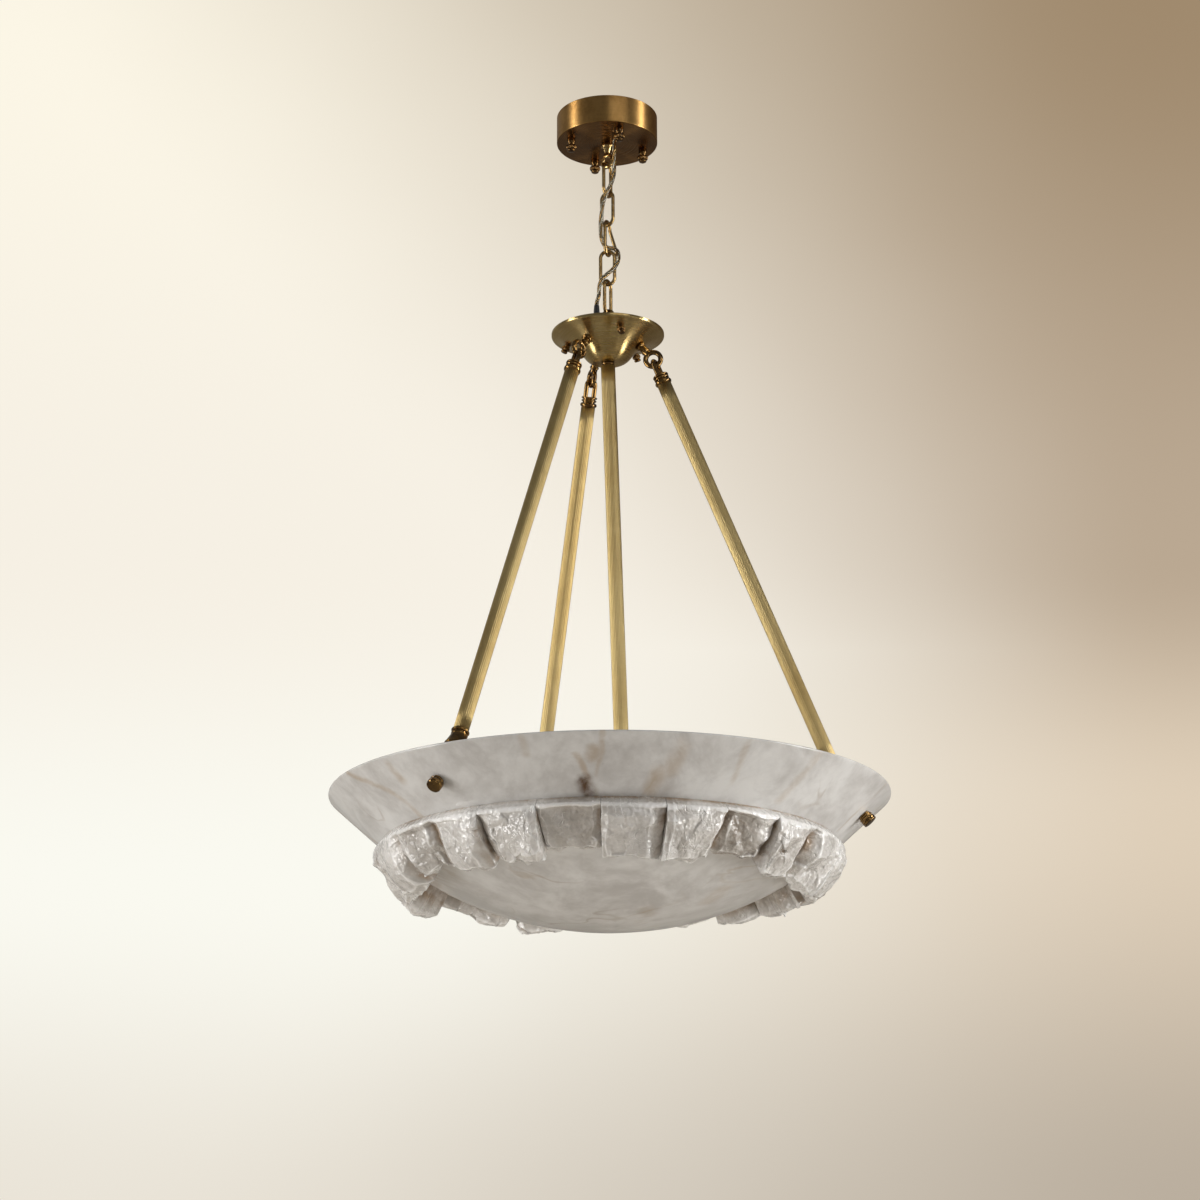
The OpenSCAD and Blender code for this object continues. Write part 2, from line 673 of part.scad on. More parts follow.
module lamp_holders() color(white)
    for (a = lamp_azimuths) lamp_frame(a) difference() {
        union() {
            pin(5, -14, -23);
            pin(9, -22, -26);
            pin(14, -24, -62);
        }
        pin(12.9, -34, -63);
    }

// Globe bulbs with screw caps
module bulbs() color([0.97, 0.95, 0.9])
    for (a = lamp_azimuths) lamp_frame(a) {
        c = -61 - bulb_len + bulb_d / 2;
        pin(12.7, -34, -63);
        translate([0, 0, c + 0.3 * bulb_d])
            cylinder(r1 = 0.4 * bulb_d, r2 = 12.7, h = -62.3 - c - 0.3 * bulb_d);
        translate([0, 0, c]) sphere(bulb_d / 2);
    }

mounting_bracket();
bracket_studs();
terminal_block();
canopy();
thumb_nuts();
canopy_loop();
link_1();
link_2();
link_3();
link_4();
link_5();
for (k = [1:6]) color(clear) flex(k);
strain_relief();
hub();
hub_cover();
hub_loop();
hub_screws();
screw_eyes();
rod_eyes();
rod_left();
rod_right();
rod_back();
rod_feet();
gaskets();
wall_bolts();
stem_coupling();
stem();
lamp_cluster();
lamp_holders();
bulbs();
bowl();
for (i = [1:24]) rock(i);
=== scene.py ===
# %% [markdown]
# Alabaster pendant light, dressed in Blender.
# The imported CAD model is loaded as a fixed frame: it says where every piece is and how it
# moves. This script adds what a solid model can't carry: stone that was broken and polished,
# brushed and antiqued brass, a clear flex, and a studio to look at them in.
# Lengths are written in millimetres, as on the drawing, and turned into metres once.
# %% Load the frame
import math

import bpy
import numpy as np
from mathutils import Matrix


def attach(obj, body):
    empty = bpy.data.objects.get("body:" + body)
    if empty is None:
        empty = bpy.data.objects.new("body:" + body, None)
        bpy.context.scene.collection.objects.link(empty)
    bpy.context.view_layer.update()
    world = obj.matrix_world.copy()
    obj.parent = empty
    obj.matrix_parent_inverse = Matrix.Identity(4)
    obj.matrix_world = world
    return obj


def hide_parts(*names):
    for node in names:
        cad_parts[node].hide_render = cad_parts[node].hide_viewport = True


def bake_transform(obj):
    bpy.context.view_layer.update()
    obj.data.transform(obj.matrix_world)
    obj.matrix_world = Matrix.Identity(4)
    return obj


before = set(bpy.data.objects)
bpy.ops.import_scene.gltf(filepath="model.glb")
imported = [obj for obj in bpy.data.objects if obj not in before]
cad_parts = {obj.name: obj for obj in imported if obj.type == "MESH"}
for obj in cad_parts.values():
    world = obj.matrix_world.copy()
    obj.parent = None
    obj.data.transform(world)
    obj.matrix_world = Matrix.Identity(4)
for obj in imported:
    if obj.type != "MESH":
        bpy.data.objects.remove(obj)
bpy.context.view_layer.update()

# %% [markdown]
# The camera comes first, because every choice after it is judged through it. The photograph
# was taken from below the bowl with a long lens: the lens is 80.86 mm on a 36 mm sensor, the
# camera stands 2.82 m in front of the lamp's axis and looks up by 17 degrees. A camera is
# three axes: right, up and backwards. They are worked out from pitch, yaw and roll.
# %% Camera
def new_object(name, data):
    """Object for some data, linked to the scene"""
    obj = bpy.data.objects.new(name, data)
    bpy.context.scene.collection.objects.link(obj)
    return obj


def standing(right, up, back, position):
    """Matrix whose columns are the three axes and the place"""
    matrix = np.eye(4)
    matrix[:3] = np.stack([right, up, back, position], -1)
    return Matrix(matrix.tolist())


def place_camera(position, pitch, yaw, roll, lens):
    """Camera whose forward axis is level forward turned up by the pitch, then rolled about itself"""
    pitch, yaw, roll = np.radians([pitch, yaw, roll])
    level_right = np.array([np.cos(yaw), -np.sin(yaw), 0.0])
    level_forward = np.array([np.sin(yaw), np.cos(yaw), 0.0])
    z_axis = np.array([0.0, 0.0, 1.0])
    forward = np.cos(pitch) * level_forward + np.sin(pitch) * z_axis
    straight_up = -np.sin(pitch) * level_forward + np.cos(pitch) * z_axis
    right = np.cos(roll) * level_right - np.sin(roll) * straight_up
    up = np.sin(roll) * level_right + np.cos(roll) * straight_up
    data = bpy.data.cameras.new("photo_camera")
    data.lens = lens
    data.sensor_width = 36.0
    camera = new_object("photo_camera", data)
    camera.matrix_world = standing(right, up, -forward, position)
    bpy.context.scene.camera = camera
    return camera


camera = place_camera((0.0, -2.8233, -1.4494), pitch=17.045, yaw=-0.197, roll=0.165, lens=80.86)
print("camera at", [round(v, 3) for v in camera.location])

# %% [markdown]
# Most pieces of a lamp are one outline carried along something: round an axis, along a wire
# or along a flex. So one helper is enough for all of them. It takes rings of points, one
# array of shape (rings, points per ring, 3), and joins neighbouring rings with four-sided
# faces. The two ends are closed with a fan to a middle point, or the last ring meets the
# first. The same helper writes a UV map in metres along the surface, so that a brushed
# finish can follow it. A skin is turned inside out when its signed volume is negative.
# %% Skins from rings
MM = 0.001


def skin_of_rings(rings, ends="fan"):
    """Faces between ring i and i + 1: corners (i, j), (i + 1, j), (i + 1, j + 1), (i, j + 1)"""
    count, around = rings.shape[:2]
    rows = count if ends == "loop" else count - 1
    i, j = np.meshgrid(np.arange(rows), np.arange(around), indexing="ij")
    i2, j2 = (i + 1) % count, (j + 1) % around
    quads = np.stack([i * around + j, i2 * around + j, i2 * around + j2, i * around + j2], -1).reshape(-1, 4)
    step = np.linalg.norm(np.diff(rings, axis=0, append=rings[:1]), axis=2).mean(1)
    along = np.concatenate([[0.0], np.cumsum(step)])
    girth = np.linalg.norm(np.roll(rings, -1, 1) - rings, axis=2).sum(1).mean()
    across = girth / around
    u = np.stack([j, j, j + 1, j + 1], -1).reshape(-1, 4) * across
    v = np.stack([along[i], along[i + 1], along[i + 1], along[i]], -1).reshape(-1, 4)
    points = rings.reshape(-1, 3)
    faces, uvs = [quads], [np.stack([u, v], -1)]
    if ends == "fan":
        middle = rings[[0, -1]].mean(1)
        points = np.concatenate([points, middle])
        edge = np.arange(around)
        after = (edge + 1) % around
        last = (count - 1) * around
        hub_first = np.full(around, count * around)
        faces.append(np.stack([hub_first, edge, after], -1))
        faces.append(np.stack([hub_first + 1, last + after, last + edge], -1))
        radius = np.linalg.norm(rings[[0, -1]] - middle[:, None], axis=2).mean(1)
        first_uv = np.stack([np.stack([edge * across, edge * across, (edge + 1) * across], -1),
                             np.stack([-radius[0] + 0 * edge, 0.0 * edge, 0.0 * edge], -1)], -1)
        last_uv = np.stack([np.stack([edge * across, (edge + 1) * across, edge * across], -1),
                            along[rows] + np.stack([radius[1] + 0 * edge, 0.0 * edge, 0.0 * edge], -1)], -1)
        uvs += [first_uv, last_uv]
    return facing_out(points, faces, uvs)


def facing_out(points, faces, uvs):
    """Sum of corner triple products is six times the volume: where it is negative, turn every face"""
    volume = 0.0
    for face in faces:
        for k in range(1, face.shape[1] - 1):
            a, b, c = points[face[:, 0]], points[face[:, k]], points[face[:, k + 1]]
            volume += np.einsum("ij,ij->i", a, np.cross(b, c)).sum()
    if volume < 0:
        faces = [face[:, ::-1] for face in faces]
        uvs = [uv[:, ::-1] for uv in uvs]
    return {"points": points, "faces": faces, "uvs": uvs}


# %% [markdown]
# A skin becomes a Blender mesh through foreach_set, which takes whole arrays and is many
# times faster than a loop. Several skins can share one object, each with its own material.
# The place is in the mesh and the object stays at the origin, like every CAD node here.
# %% From skins to a piece
def add_piece(name, skins, materials, body, stands_for=(), features=None, place=None):
    """One object of one or more skins in millimetres; place is a 4 x 4 matrix or None"""
    points, corners, sizes, uv, which = [], [], [], [], []
    offset = 0
    for index, skin in enumerate(skins):
        points.append(skin["points"])
        for face, face_uv in zip(skin["faces"], skin["uvs"]):
            corners.append((face + offset).ravel())
            sizes.append(np.full(len(face), face.shape[1]))
            uv.append(face_uv.reshape(-1, 2))
            which.append(np.full(len(face), min(index, len(materials) - 1)))
        offset += len(skin["points"])
    points = np.concatenate(points)
    if place is not None:
        points = moved(points, place)
    corners, sizes = np.concatenate(corners), np.concatenate(sizes)
    mesh = bpy.data.meshes.new(name)
    mesh.vertices.add(len(points))
    mesh.vertices.foreach_set("co", (points * MM).ravel())
    mesh.loops.add(len(corners))
    mesh.loops.foreach_set("vertex_index", corners)
    mesh.polygons.add(len(sizes))
    mesh.polygons.foreach_set("loop_start", np.concatenate([[0], np.cumsum(sizes)[:-1]]))
    mesh.polygons.foreach_set("material_index", np.concatenate(which))
    mesh.update(calc_edges=True)
    layer = mesh.uv_layers.new(name="surface")
    layer.data.foreach_set("uv", (np.concatenate(uv) * MM).ravel())
    mesh.shade_smooth()
    for key, values in (features or {}).items():
        attribute = mesh.attributes.new(key, "FLOAT", "POINT")
        attribute.data.foreach_set("value", np.asarray(values, dtype=float))
    for material in materials:
        mesh.materials.append(material)
    mesh.validate()
    piece = new_object(name, mesh)
    if body:
        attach(piece, body)
    if stands_for:
        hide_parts(*stands_for)
    print(f"{name}: {len(points)} points, {int((sizes - 2).sum())} triangles")
    return piece


def moved(points, matrix):
    """Points times the matrix's rotation, plus its shift"""
    return points @ matrix[:3, :3].T + matrix[:3, 3]


def joined(skins):
    """Several skins as one, with the corner numbers of each moved past those before it"""
    points, faces, uvs, offset = [], [], [], 0
    for skin in skins:
        points.append(skin["points"])
        faces += [face + offset for face in skin["faces"]]
        uvs += skin["uvs"]
        offset += len(skin["points"])
    return {"points": np.concatenate(points), "faces": faces, "uvs": uvs}


def skin_moved(skin, matrix):
    """The same skin at another place"""
    return {"points": moved(skin["points"], matrix), "faces": skin["faces"], "uvs": skin["uvs"]}


# %% [markdown]
# Turned pieces are outlines carried round an axis. A lathe leaves no knife edges, so every
# corner of an outline is softened first: the corner is replaced by a short curve that starts
# and ends a little way along its two sides. Extra points beside the curve keep the flats
# flat when the shading is smoothed.
# %% Turned pieces
def softened(outline, radius):
    """Each inner corner P becomes (1-s)^2 A + 2s(1-s) P + s^2 B with A and B on its two sides"""
    outline = np.asarray(outline, dtype=float)
    before, corner, after = outline[:-2], outline[1:-1], outline[2:]
    to_before, to_after = before - corner, after - corner
    length_before = np.linalg.norm(to_before, axis=1, keepdims=True)
    length_after = np.linalg.norm(to_after, axis=1, keepdims=True)
    reach = np.minimum(radius, 0.4 * np.minimum(length_before, length_after))
    a = corner + to_before / length_before * reach
    b = corner + to_after / length_after * reach
    support_a = corner + to_before / length_before * reach * 1.2
    support_b = corner + to_after / length_after * reach * 1.2
    s = np.linspace(0, 1, 5)[None, :, None]
    curve = (1 - s) ** 2 * a[:, None] + 2 * s * (1 - s) * corner[:, None] + s ** 2 * b[:, None]
    rows = np.concatenate([support_a[:, None], curve, support_b[:, None]], axis=1)
    return np.concatenate([outline[:1], rows.reshape(-1, 2), outline[-1:]])


def circle(count):
    """Evenly spaced angles round a circle"""
    return np.arange(count) * 2 * np.pi / count


def turned(outline, around=96, teeth=0, depth=0.0, toothed=None, ends="fan"):
    """Outline point (r, z) goes to (r cos t, r sin t, z); teeth cut r by depth (1 - cos(teeth t)) / 2"""
    outline = np.asarray(outline, dtype=float)
    t = circle(around)
    r = np.repeat(outline[:, :1], around, axis=1)
    if teeth:
        weight = np.ones(len(outline)) if toothed is None else toothed(outline)
        r = r - depth * weight[:, None] * (0.5 - 0.5 * np.cos(teeth * t))[None, :]
    rings = np.stack([r * np.cos(t), r * np.sin(t), np.repeat(outline[:, 1:], around, axis=1)], -1)
    return skin_of_rings(rings, ends)


def arc(centre, radius, from_angle, to_angle, count):
    """Points on a circle of the radial plane between two angles in degrees"""
    t = np.radians(np.linspace(from_angle, to_angle, count))
    return np.stack([centre[0] + radius * np.cos(t), centre[1] + radius * np.sin(t)], -1)


def bead_outline(radius, top, bottom, count=9):
    """Full round edge of a turned bead, from its top to its bottom"""
    half = (top - bottom) / 2
    return arc((radius - half, bottom + half), half, 90, -90, count)


# %% [markdown]
# A few small matrices place things as the CAD source does. A spoke turns the radial plane
# to an azimuth, counted from the front towards the right. A leaning frame stands at a point
# of that plane, and its lower end points outwards by its lean.
# %% Places
def shift(x, y, z):
    """Matrix that only moves"""
    matrix = np.eye(4)
    matrix[:3, 3] = (x, y, z)
    return matrix


def turn(angle, first, second):
    """Matrix that turns by an angle in degrees from one axis (0, 1 or 2) towards another"""
    c, s = np.cos(np.radians(angle)), np.sin(np.radians(angle))
    matrix = np.eye(4)
    matrix[first, first] = matrix[second, second] = c
    matrix[second, first], matrix[first, second] = s, -s
    return matrix


def spoke(azimuth):
    """Turns the radial plane to an azimuth"""
    return turn(azimuth - 90, 0, 1)


def leaning(x, z, lean):
    """Stands at a point of the radial plane, with the lower end leaning outwards"""
    return shift(x, 0, z) @ turn(-lean, 2, 0)


# %% [markdown]
# The sizes of the drawing, in millimetres. Z is zero on the ceiling.
# %% Sizes
canopy_r, canopy_h, canopy_wall, canopy_floor = 58.0, 33.0, 1.6, 2.4
boss_r, boss_h, axis_gap = 13.0, 8.4, 0.5
nut_circle_r, nut_azimuth = 43.5, 19.0
hub_r, z_hub = 63.6, -270.0
flare_c, flare_r = (74.1, -331.0), 58.3
round_c, round_r = (12.4, -287.8), 17.0
knob_slope, knob_azimuth = 28.0, 18.0
eye_slope, rod_azimuth = 40.0, -39.0
eye_shank = 23.0


def on_flare(angle, off=0.0):
    """Centre of the flare's arc + (its radius - off) along a direction turned in from upright"""
    a, radius = math.radians(angle), flare_r - off
    return flare_c[0] - radius * math.sin(a), flare_c[1] + radius * math.cos(a)


ring_x, ring_z = on_flare(eye_slope, off=eye_shank)
rod_top, rod_len, rod_d, rod_reeds = 33.5, 475.8, 16.0, 24
bowl_r, bowl_depth, bowl_wall, wall_angle = 300.0, 140.0, 14.0, 42.0
bolt_drop, rim_round, standoff, foot_len = 28.504, 1.5, 12.45, 40.2
slope = math.radians(wall_angle)
corner_r = bowl_r + rim_round * (1 / math.tan(slope / 2) - 1)
face_x = corner_r - bolt_drop / math.tan(slope)
ball_x = face_x - (standoff + bowl_wall) * math.sin(slope)
s_ball = rod_top + rod_len + foot_len
rod_lean = math.degrees(math.asin((ball_x - ring_x) / s_ball))
ball_z = ring_z - s_ball * math.cos(math.radians(rod_lean))
z_rim = ball_z - (standoff + bowl_wall) * math.cos(slope) + bolt_drop
bowl_R = (corner_r * math.tan(slope) - bowl_depth) / (1 / math.cos(slope) - 1)
z_sphere = z_rim - bowl_depth + bowl_R
stem_lean, z_pivot, stem_top, stem_above_rim = 1.7, -308.3, 1.2, 6.7
stem_end = (z_pivot - z_rim - stem_above_rim) / math.cos(math.radians(stem_lean))
print(f"rim at {z_rim:.2f}, sphere radius {bowl_R:.2f}, rod lean {rod_lean:.2f}")

# %% [markdown]
# Shader nodes are added through one helper, so that a material reads as a short recipe.
# A value that is a socket is linked, and any other value is typed into the socket. Colours
# are written as seen on a screen, 0 to 255, and turned into linear light.
# %% Shader helpers
def tone(r, g, b):
    """Screen colour to linear light: ((c + 0.055) / 1.055) to the power 2.4"""
    c = np.array([r, g, b]) / 255.0
    linear = np.where(c <= 0.04045, c / 12.92, ((c + 0.055) / 1.055) ** 2.4)
    return (*[float(v) for v in linear], 1.0)


def put(socket, value):
    """Link another socket to this one, or type a constant into it"""
    if isinstance(value, bpy.types.NodeSocket):
        socket.id_data.links.new(value, socket)
    else:
        socket.default_value = value


def add_node(tree, kind, inputs=None, **settings):
    """One shader node with its settings, typed values and links"""
    node = tree.nodes.new(kind)
    for key, value in settings.items():
        setattr(node, key, value)
    for key, value in (inputs or {}).items():
        put(node.inputs[key], value)
    return node


def fill(node, **values):
    """Type or link values into a node's sockets; an underscore stands for a space"""
    for name, value in values.items():
        put(node.inputs[name.replace("_", " ")], value)


def new_material(name, metallic=0.0, roughness=0.5, **more):
    """Material with a Principled shader whose constant values are typed into its own sockets"""
    material = bpy.data.materials.new(name)
    material.use_nodes = True
    tree = material.node_tree
    shader = tree.nodes["Principled BSDF"]
    fill(shader, Metallic=metallic, Roughness=roughness, **more)
    return material, tree, shader


# %% [markdown]
# A surface is never one colour. Its pattern is a cloud noise on the piece's own coordinates,
# a few sums with it, and a step that turns the sum into the share of a second colour or into
# a roughness. A noise is chosen over a picture, because it has no edges and no fixed size.
# %% Patterns
def coordinates(tree, kind, scale=(1, 1, 1), rotation=(0, 0, 0)):
    """Object or UV coordinates, stretched by a Mapping node"""
    source = add_node(tree, "ShaderNodeTexCoord").outputs[kind]
    inputs = {"Vector": source, "Scale": scale, "Rotation": rotation}
    return add_node(tree, "ShaderNodeMapping", inputs).outputs[0]


def noise(tree, place, scale, detail=4.0, roughness=0.55, distortion=0.0, output="Fac"):
    """Cloud noise between 0 and 1"""
    inputs = {"Vector": place, "Scale": scale, "Detail": detail, "Roughness": roughness,
              "Distortion": distortion}
    return add_node(tree, "ShaderNodeTexNoise", inputs).outputs[output]


def calc(tree, operation, a, b=0.0, clamp=False):
    """One sum"""
    return add_node(tree, "ShaderNodeMath", {0: a, 1: b}, operation=operation, use_clamp=clamp).outputs[0]


def plus(tree, a, b):
    """a + b"""
    return calc(tree, "ADD", a, b)


def minus(tree, a, b):
    """a - b"""
    return calc(tree, "SUBTRACT", a, b)


def times(tree, a, b):
    """a b"""
    return calc(tree, "MULTIPLY", a, b)


def spread(tree, value, low, high, to_low=0.0, to_high=1.0, kind="SMOOTHSTEP"):
    """One range onto another, by a smooth step or by a straight line"""
    inputs = {"Value": value, "From Min": low, "From Max": high, "To Min": to_low, "To Max": to_high}
    return add_node(tree, "ShaderNodeMapRange", inputs, interpolation_type=kind).outputs[0]


def blend_colours(tree, factor, a, b):
    """Colour a where the factor is 0, b where it is 1; each is a socket or a screen colour"""
    node = add_node(tree, "ShaderNodeMix", data_type="RGBA")
    number = [s for s in node.inputs if s.type == "VALUE"][0]
    colour_inputs = [s for s in node.inputs if s.type == "RGBA"]
    put(number, factor)
    for socket, value in zip(colour_inputs, (a, b)):
        put(socket, tone(*value) if isinstance(value, tuple) else value)
    return [s for s in node.outputs if s.type == "RGBA"][0]


def bump(tree, shader, height, strength, distance):
    """Small height differences as a change of the surface normal"""
    node = add_node(tree, "ShaderNodeBump", {"Height": height, "Strength": strength, "Distance": distance})
    fill(shader, Normal=node.outputs[0])


# %% [markdown]
# Brass is one metal with many finishes. All of them share a recipe: a metal colour that
# drifts towards a darker patina in soft clouds, fine brush lines that vary the roughness,
# and a faint bump along the lines. Brushing also stretches a reflection across the lines,
# which is what makes the bright and dark bands of a turned cup. That is the shader's own
# anisotropy, and it needs to know the direction of the lines, which the UV map gives.
# %% Brass
def brass(name, clean, patina, roughness, lines=None, anisotropy=0.0, coat=0.0, clouds=18.0):
    """Metal between a clean and a patina colour; lines is the stretch of the brush marks per metre"""
    material, tree, shader = new_material(name, metallic=1.0, roughness=roughness)
    fill(shader, Coat_Weight=coat, Coat_Roughness=0.08)
    cloud = noise(tree, coordinates(tree, "Object"), clouds, detail=5, roughness=0.6)
    fine = noise(tree, coordinates(tree, "Object"), clouds * 14, detail=3, roughness=0.6)
    mixed = plus(tree, times(tree, cloud, 0.75), times(tree, fine, 0.25))
    colour = blend_colours(tree, spread(tree, mixed, 0.35, 0.68), clean, patina)
    rough_low, rough_high = roughness * 0.8, roughness * 1.25
    if lines is None:
        fill(shader, Roughness=spread(tree, mixed, 0.3, 0.7, rough_low, rough_high))
        bump(tree, shader, fine, 0.12, 0.0004)
    else:
        streak = noise(tree, coordinates(tree, "UV", scale=lines), 1.0, detail=3, roughness=0.7)
        colour = blend_colours(tree, spread(tree, streak, 0.3, 0.75, 0.0, 0.35), colour, patina)
        fill(shader, Roughness=spread(tree, streak, 0.25, 0.75, rough_low, rough_high))
        bump(tree, shader, streak, 0.10, 0.0003)
    if anisotropy:
        tangent = add_node(tree, "ShaderNodeTangent", direction_type="UV_MAP", uv_map="surface")
        fill(shader, Anisotropic=anisotropy, Anisotropic_Rotation=0.25, Tangent=tangent.outputs[0])
    fill(shader, Base_Color=colour)
    return material


canopy_brass = brass("antique_brushed_brass", (206, 162, 98), (158, 117, 64), 0.36,
                     lines=(12, 2600, 1), anisotropy=0.9)
# The floor brass is the canopy brass made darker: painted shade for the dark room the floor would mirror.
painted_shade_brass = brass("canopy_floor_painted_shade", (150, 110, 62), (110, 78, 42), 0.26,
                    lines=(12, 2600, 1), anisotropy=0.95)
hub_brass = brass("satin_turned_brass", (212, 188, 132), (184, 154, 98), 0.26,
                  lines=(12, 3000, 1), anisotropy=0.95)
rod_brass = brass("satin_reeded_brass", (206, 184, 130), (182, 156, 102), 0.38,
                  lines=(900, 3, 1), clouds=4)
chain_brass = brass("chain_brass", (204, 172, 116), (140, 108, 62), 0.2, coat=0.2, clouds=60)
eye_brass = brass("polished_dark_brass", (164, 128, 72), (66, 44, 20), 0.13, coat=0.3, clouds=45)
nut_brass = brass("dark_knurled_brass", (138, 104, 58), (72, 50, 28), 0.24, coat=0.2, clouds=90)
brasses = (canopy_brass, painted_shade_brass, hub_brass, rod_brass, chain_brass, eye_brass, nut_brass)
print("brass finishes:", [material.name for material in brasses])

# %% [markdown]
# The clear flex is two stranded wires in a sheath of clear plastic. From a step away it reads
# as a glassy tube with a silver and a gold thread that wind round each other. It is made as
# it is: a sheath that lets light through, and two cores inside it. The route is the drawing's
# own, and a smooth curve is laid through its points.
# %% Route of the flex
flex_points = np.array([
    (20, -20, -10), (18.5, -20, -10), (14.4, -19.4, -11.2), (11.4, -17.6, -14.3), (9.9, -14.8, -19),
    (8.8, -11.8, -26), (8, -10.4, -33), (8, -10, -41), (8, -9.5, -49), (8, -9, -56), (8, -8.5, -65.3),
    (8, -8, -71.3), (7, -8.5, -78.5), (4.5, -9.5, -87.3), (0.5, -9.5, -96.3), (-3, -9.5, -105.3),
    (-5.5, -10, -115.2), (-6.5, -9.5, -124.3), (-7.6, -8, -133.3), (-7.7, -6, -142.3), (-7, -3, -151.9),
    (-4, 0.5, -159), (0.5, 1.8, -162.5), (6, 0.6, -164), (11, -1.6, -168), (12.5, -4, -175),
    (12, -6, -182), (9.5, -7.5, -188.6), (5.5, -9, -194.5), (0, -10, -200), (-5.5, -9.5, -205.5),
    (-9, -9, -213.3), (-10, -8.5, -225.3), (-11.2, -7.75, -230), (-12.2, -7.18, -234),
    (-12.5, -7, -236.5), (-12.5, -7, -238.5), (-12.5, -7, -264), (-12.5, -7, -275)], dtype=float)
flex_cut = (0, 12, 16, 20, 27, 32, 38)
flex_r, core_r, core_offset, core_lay = 2.3, 0.75, 0.95, 26.0
first_hinge_z, link_pitch, bend_reach, per_span = -62.3, 36.7, 9, 8


def unit(vectors):
    """The same directions with length 1"""
    return vectors / np.linalg.norm(vectors, axis=-1, keepdims=True)


def smooth_path(points):
    """Catmull-Rom curve: on each span a cubic whose end slopes are half the neighbours' distance"""
    padded = np.concatenate([2 * points[:1] - points[1:2], points, 2 * points[-1:] - points[-2:-1]])
    p0, p1, p2, p3 = padded[:-3], padded[1:-2], padded[2:-1], padded[3:]
    t = (np.arange(per_span) / per_span)[None, :, None]
    curve = 0.5 * (2 * p1[:, None] + (p2 - p0)[:, None] * t
                   + (2 * p0 - 5 * p1 + 4 * p2 - p3)[:, None] * t ** 2
                   + (3 * p1 - p0 - 3 * p2 + p3)[:, None] * t ** 3)
    return np.concatenate([curve.reshape(-1, 3), points[-1:]])


def frames_along(path):
    """Direction of the path at each point, and two directions square to it and to each other"""
    ahead = unit(np.gradient(path, axis=0))
    side = unit(np.cross(ahead, (0.0, 1.0, 0.0)))
    return ahead, side, np.cross(ahead, side)


def wire(path, radius, around=20, swirl=0.0, offset=0.0, part=slice(None)):
    """Round wire: path + offset turned by the swirl, + radius (cos t side + sin t up)"""
    ahead, side, up = frames_along(path)
    length = np.concatenate([[0.0], np.cumsum(np.linalg.norm(np.diff(path, axis=0), axis=1))])
    lay = (2 * np.pi * length / swirl if swirl else 0.0 * length)[:, None] + (np.pi if offset < 0 else 0.0)
    middle = path + abs(offset) * (np.cos(lay) * side + np.sin(lay) * up)
    t = circle(around)[None, :, None]
    rings = middle[:, None] + radius * (np.cos(t) * side[:, None] + np.sin(t) * up[:, None])
    return skin_of_rings(rings[part])


flex_path = smooth_path(flex_points)
print("flex length in mm:", round(float(np.linalg.norm(np.diff(flex_path, axis=0), axis=1).sum()), 1))


# %% [markdown]
# The sheath is soft clear plastic with a breath of haze, and the cores are bare strands, one
# tinned and one plain copper. The sheath is the same shader as everything else with its
# transmission turned up. The strands are too fine to model, so a slanted wave across the
# core draws them and gives a faint bump.
# %% Flex materials
def clear_plastic():
    """Plastic that lets light through, with a breath of haze and a warm tint"""
    material, tree, shader = new_material(
        "clear_flex_sheath", roughness=0.12, Transmission_Weight=1.0, IOR=1.35)
    haze = noise(tree, coordinates(tree, "Object"), 160, detail=2)
    fill(shader, Base_Color=blend_colours(tree, haze, (250, 247, 236), (226, 220, 200)),
         Roughness=spread(tree, haze, 0.3, 0.7, 0.06, 0.2))
    return material


def stranded(name, light, dark):
    """Bare copper strands, tinned or not: diagonal lines across the core"""
    material, tree, shader = new_material(name, metallic=0.9, roughness=0.3)
    lay = coordinates(tree, "UV", scale=(2600, 420, 1), rotation=(0, 0, 0.5))
    wave = add_node(tree, "ShaderNodeTexWave", {"Vector": lay, "Scale": 0.35, "Distortion": 0.6})
    strands = wave.outputs["Fac"]
    fill(shader, Base_Color=blend_colours(tree, strands, dark, light))
    bump(tree, shader, strands, 0.4, 0.0002)
    return material


sheath = clear_plastic()
silver_core = stranded("tinned_core", (225, 222, 212), (150, 146, 134))
gold_core = stranded("copper_core", (222, 186, 128), (150, 112, 64))
print("flex materials:", sheath.name, silver_core.name, gold_core.name)

# %% [markdown]
# The chain has a hinge at each contact of two links, and a real flex bends there. So the flex is six
# stretches that meet between the hinges.
# %% Flex stretches
for k in range(6):
    part = slice(per_span * flex_cut[k], per_span * flex_cut[k + 1] + 1)
    skins = [wire(flex_path, flex_r, around=20, part=part)]
    for offset in (core_offset, -core_offset):
        skins.append(wire(flex_path, core_r, around=12, swirl=core_lay, offset=offset, part=part))
    piece = add_piece(f"clear_flex_{k + 1}", skins, [sheath, silver_core, gold_core], None,
                      stands_for=[f"flex_{k + 1}"])
    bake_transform(piece)

# %% [markdown]
# The canopy is a spun drum with a floor. Its side is brushed round the axis, so a lamp beside it shows as a
# tall bright band. Its floor gets a darker copy of the same brass, painted shade that stands for the dark
# room below in its reflection. The outline is turned once round the axis, with the boss that carries the
# loop inside.
# %% Canopy
inside_r, floor_top, boss_top = canopy_r - canopy_wall, canopy_floor - canopy_h, boss_h - canopy_h
canopy_outline = softened([
    (axis_gap, boss_top), (boss_r, boss_top), (boss_r, floor_top), (inside_r, floor_top), (inside_r, 0),
    (canopy_r, 0), (canopy_r, -canopy_h), (axis_gap, -canopy_h)], 0.9)
drum = turned(canopy_outline, around=192)
canopy = add_piece("canopy_drum", [drum], [canopy_brass, painted_shade_brass], "canopy",
                   stands_for=["canopy"])
# Faces that look down get the darker brass: painted shade on the canopy floor.
normals = np.zeros(len(canopy.data.polygons) * 3)
canopy.data.polygons.foreach_get("normal", normals)
faces_down = normals.reshape(-1, 3)[:, 2] < -0.7
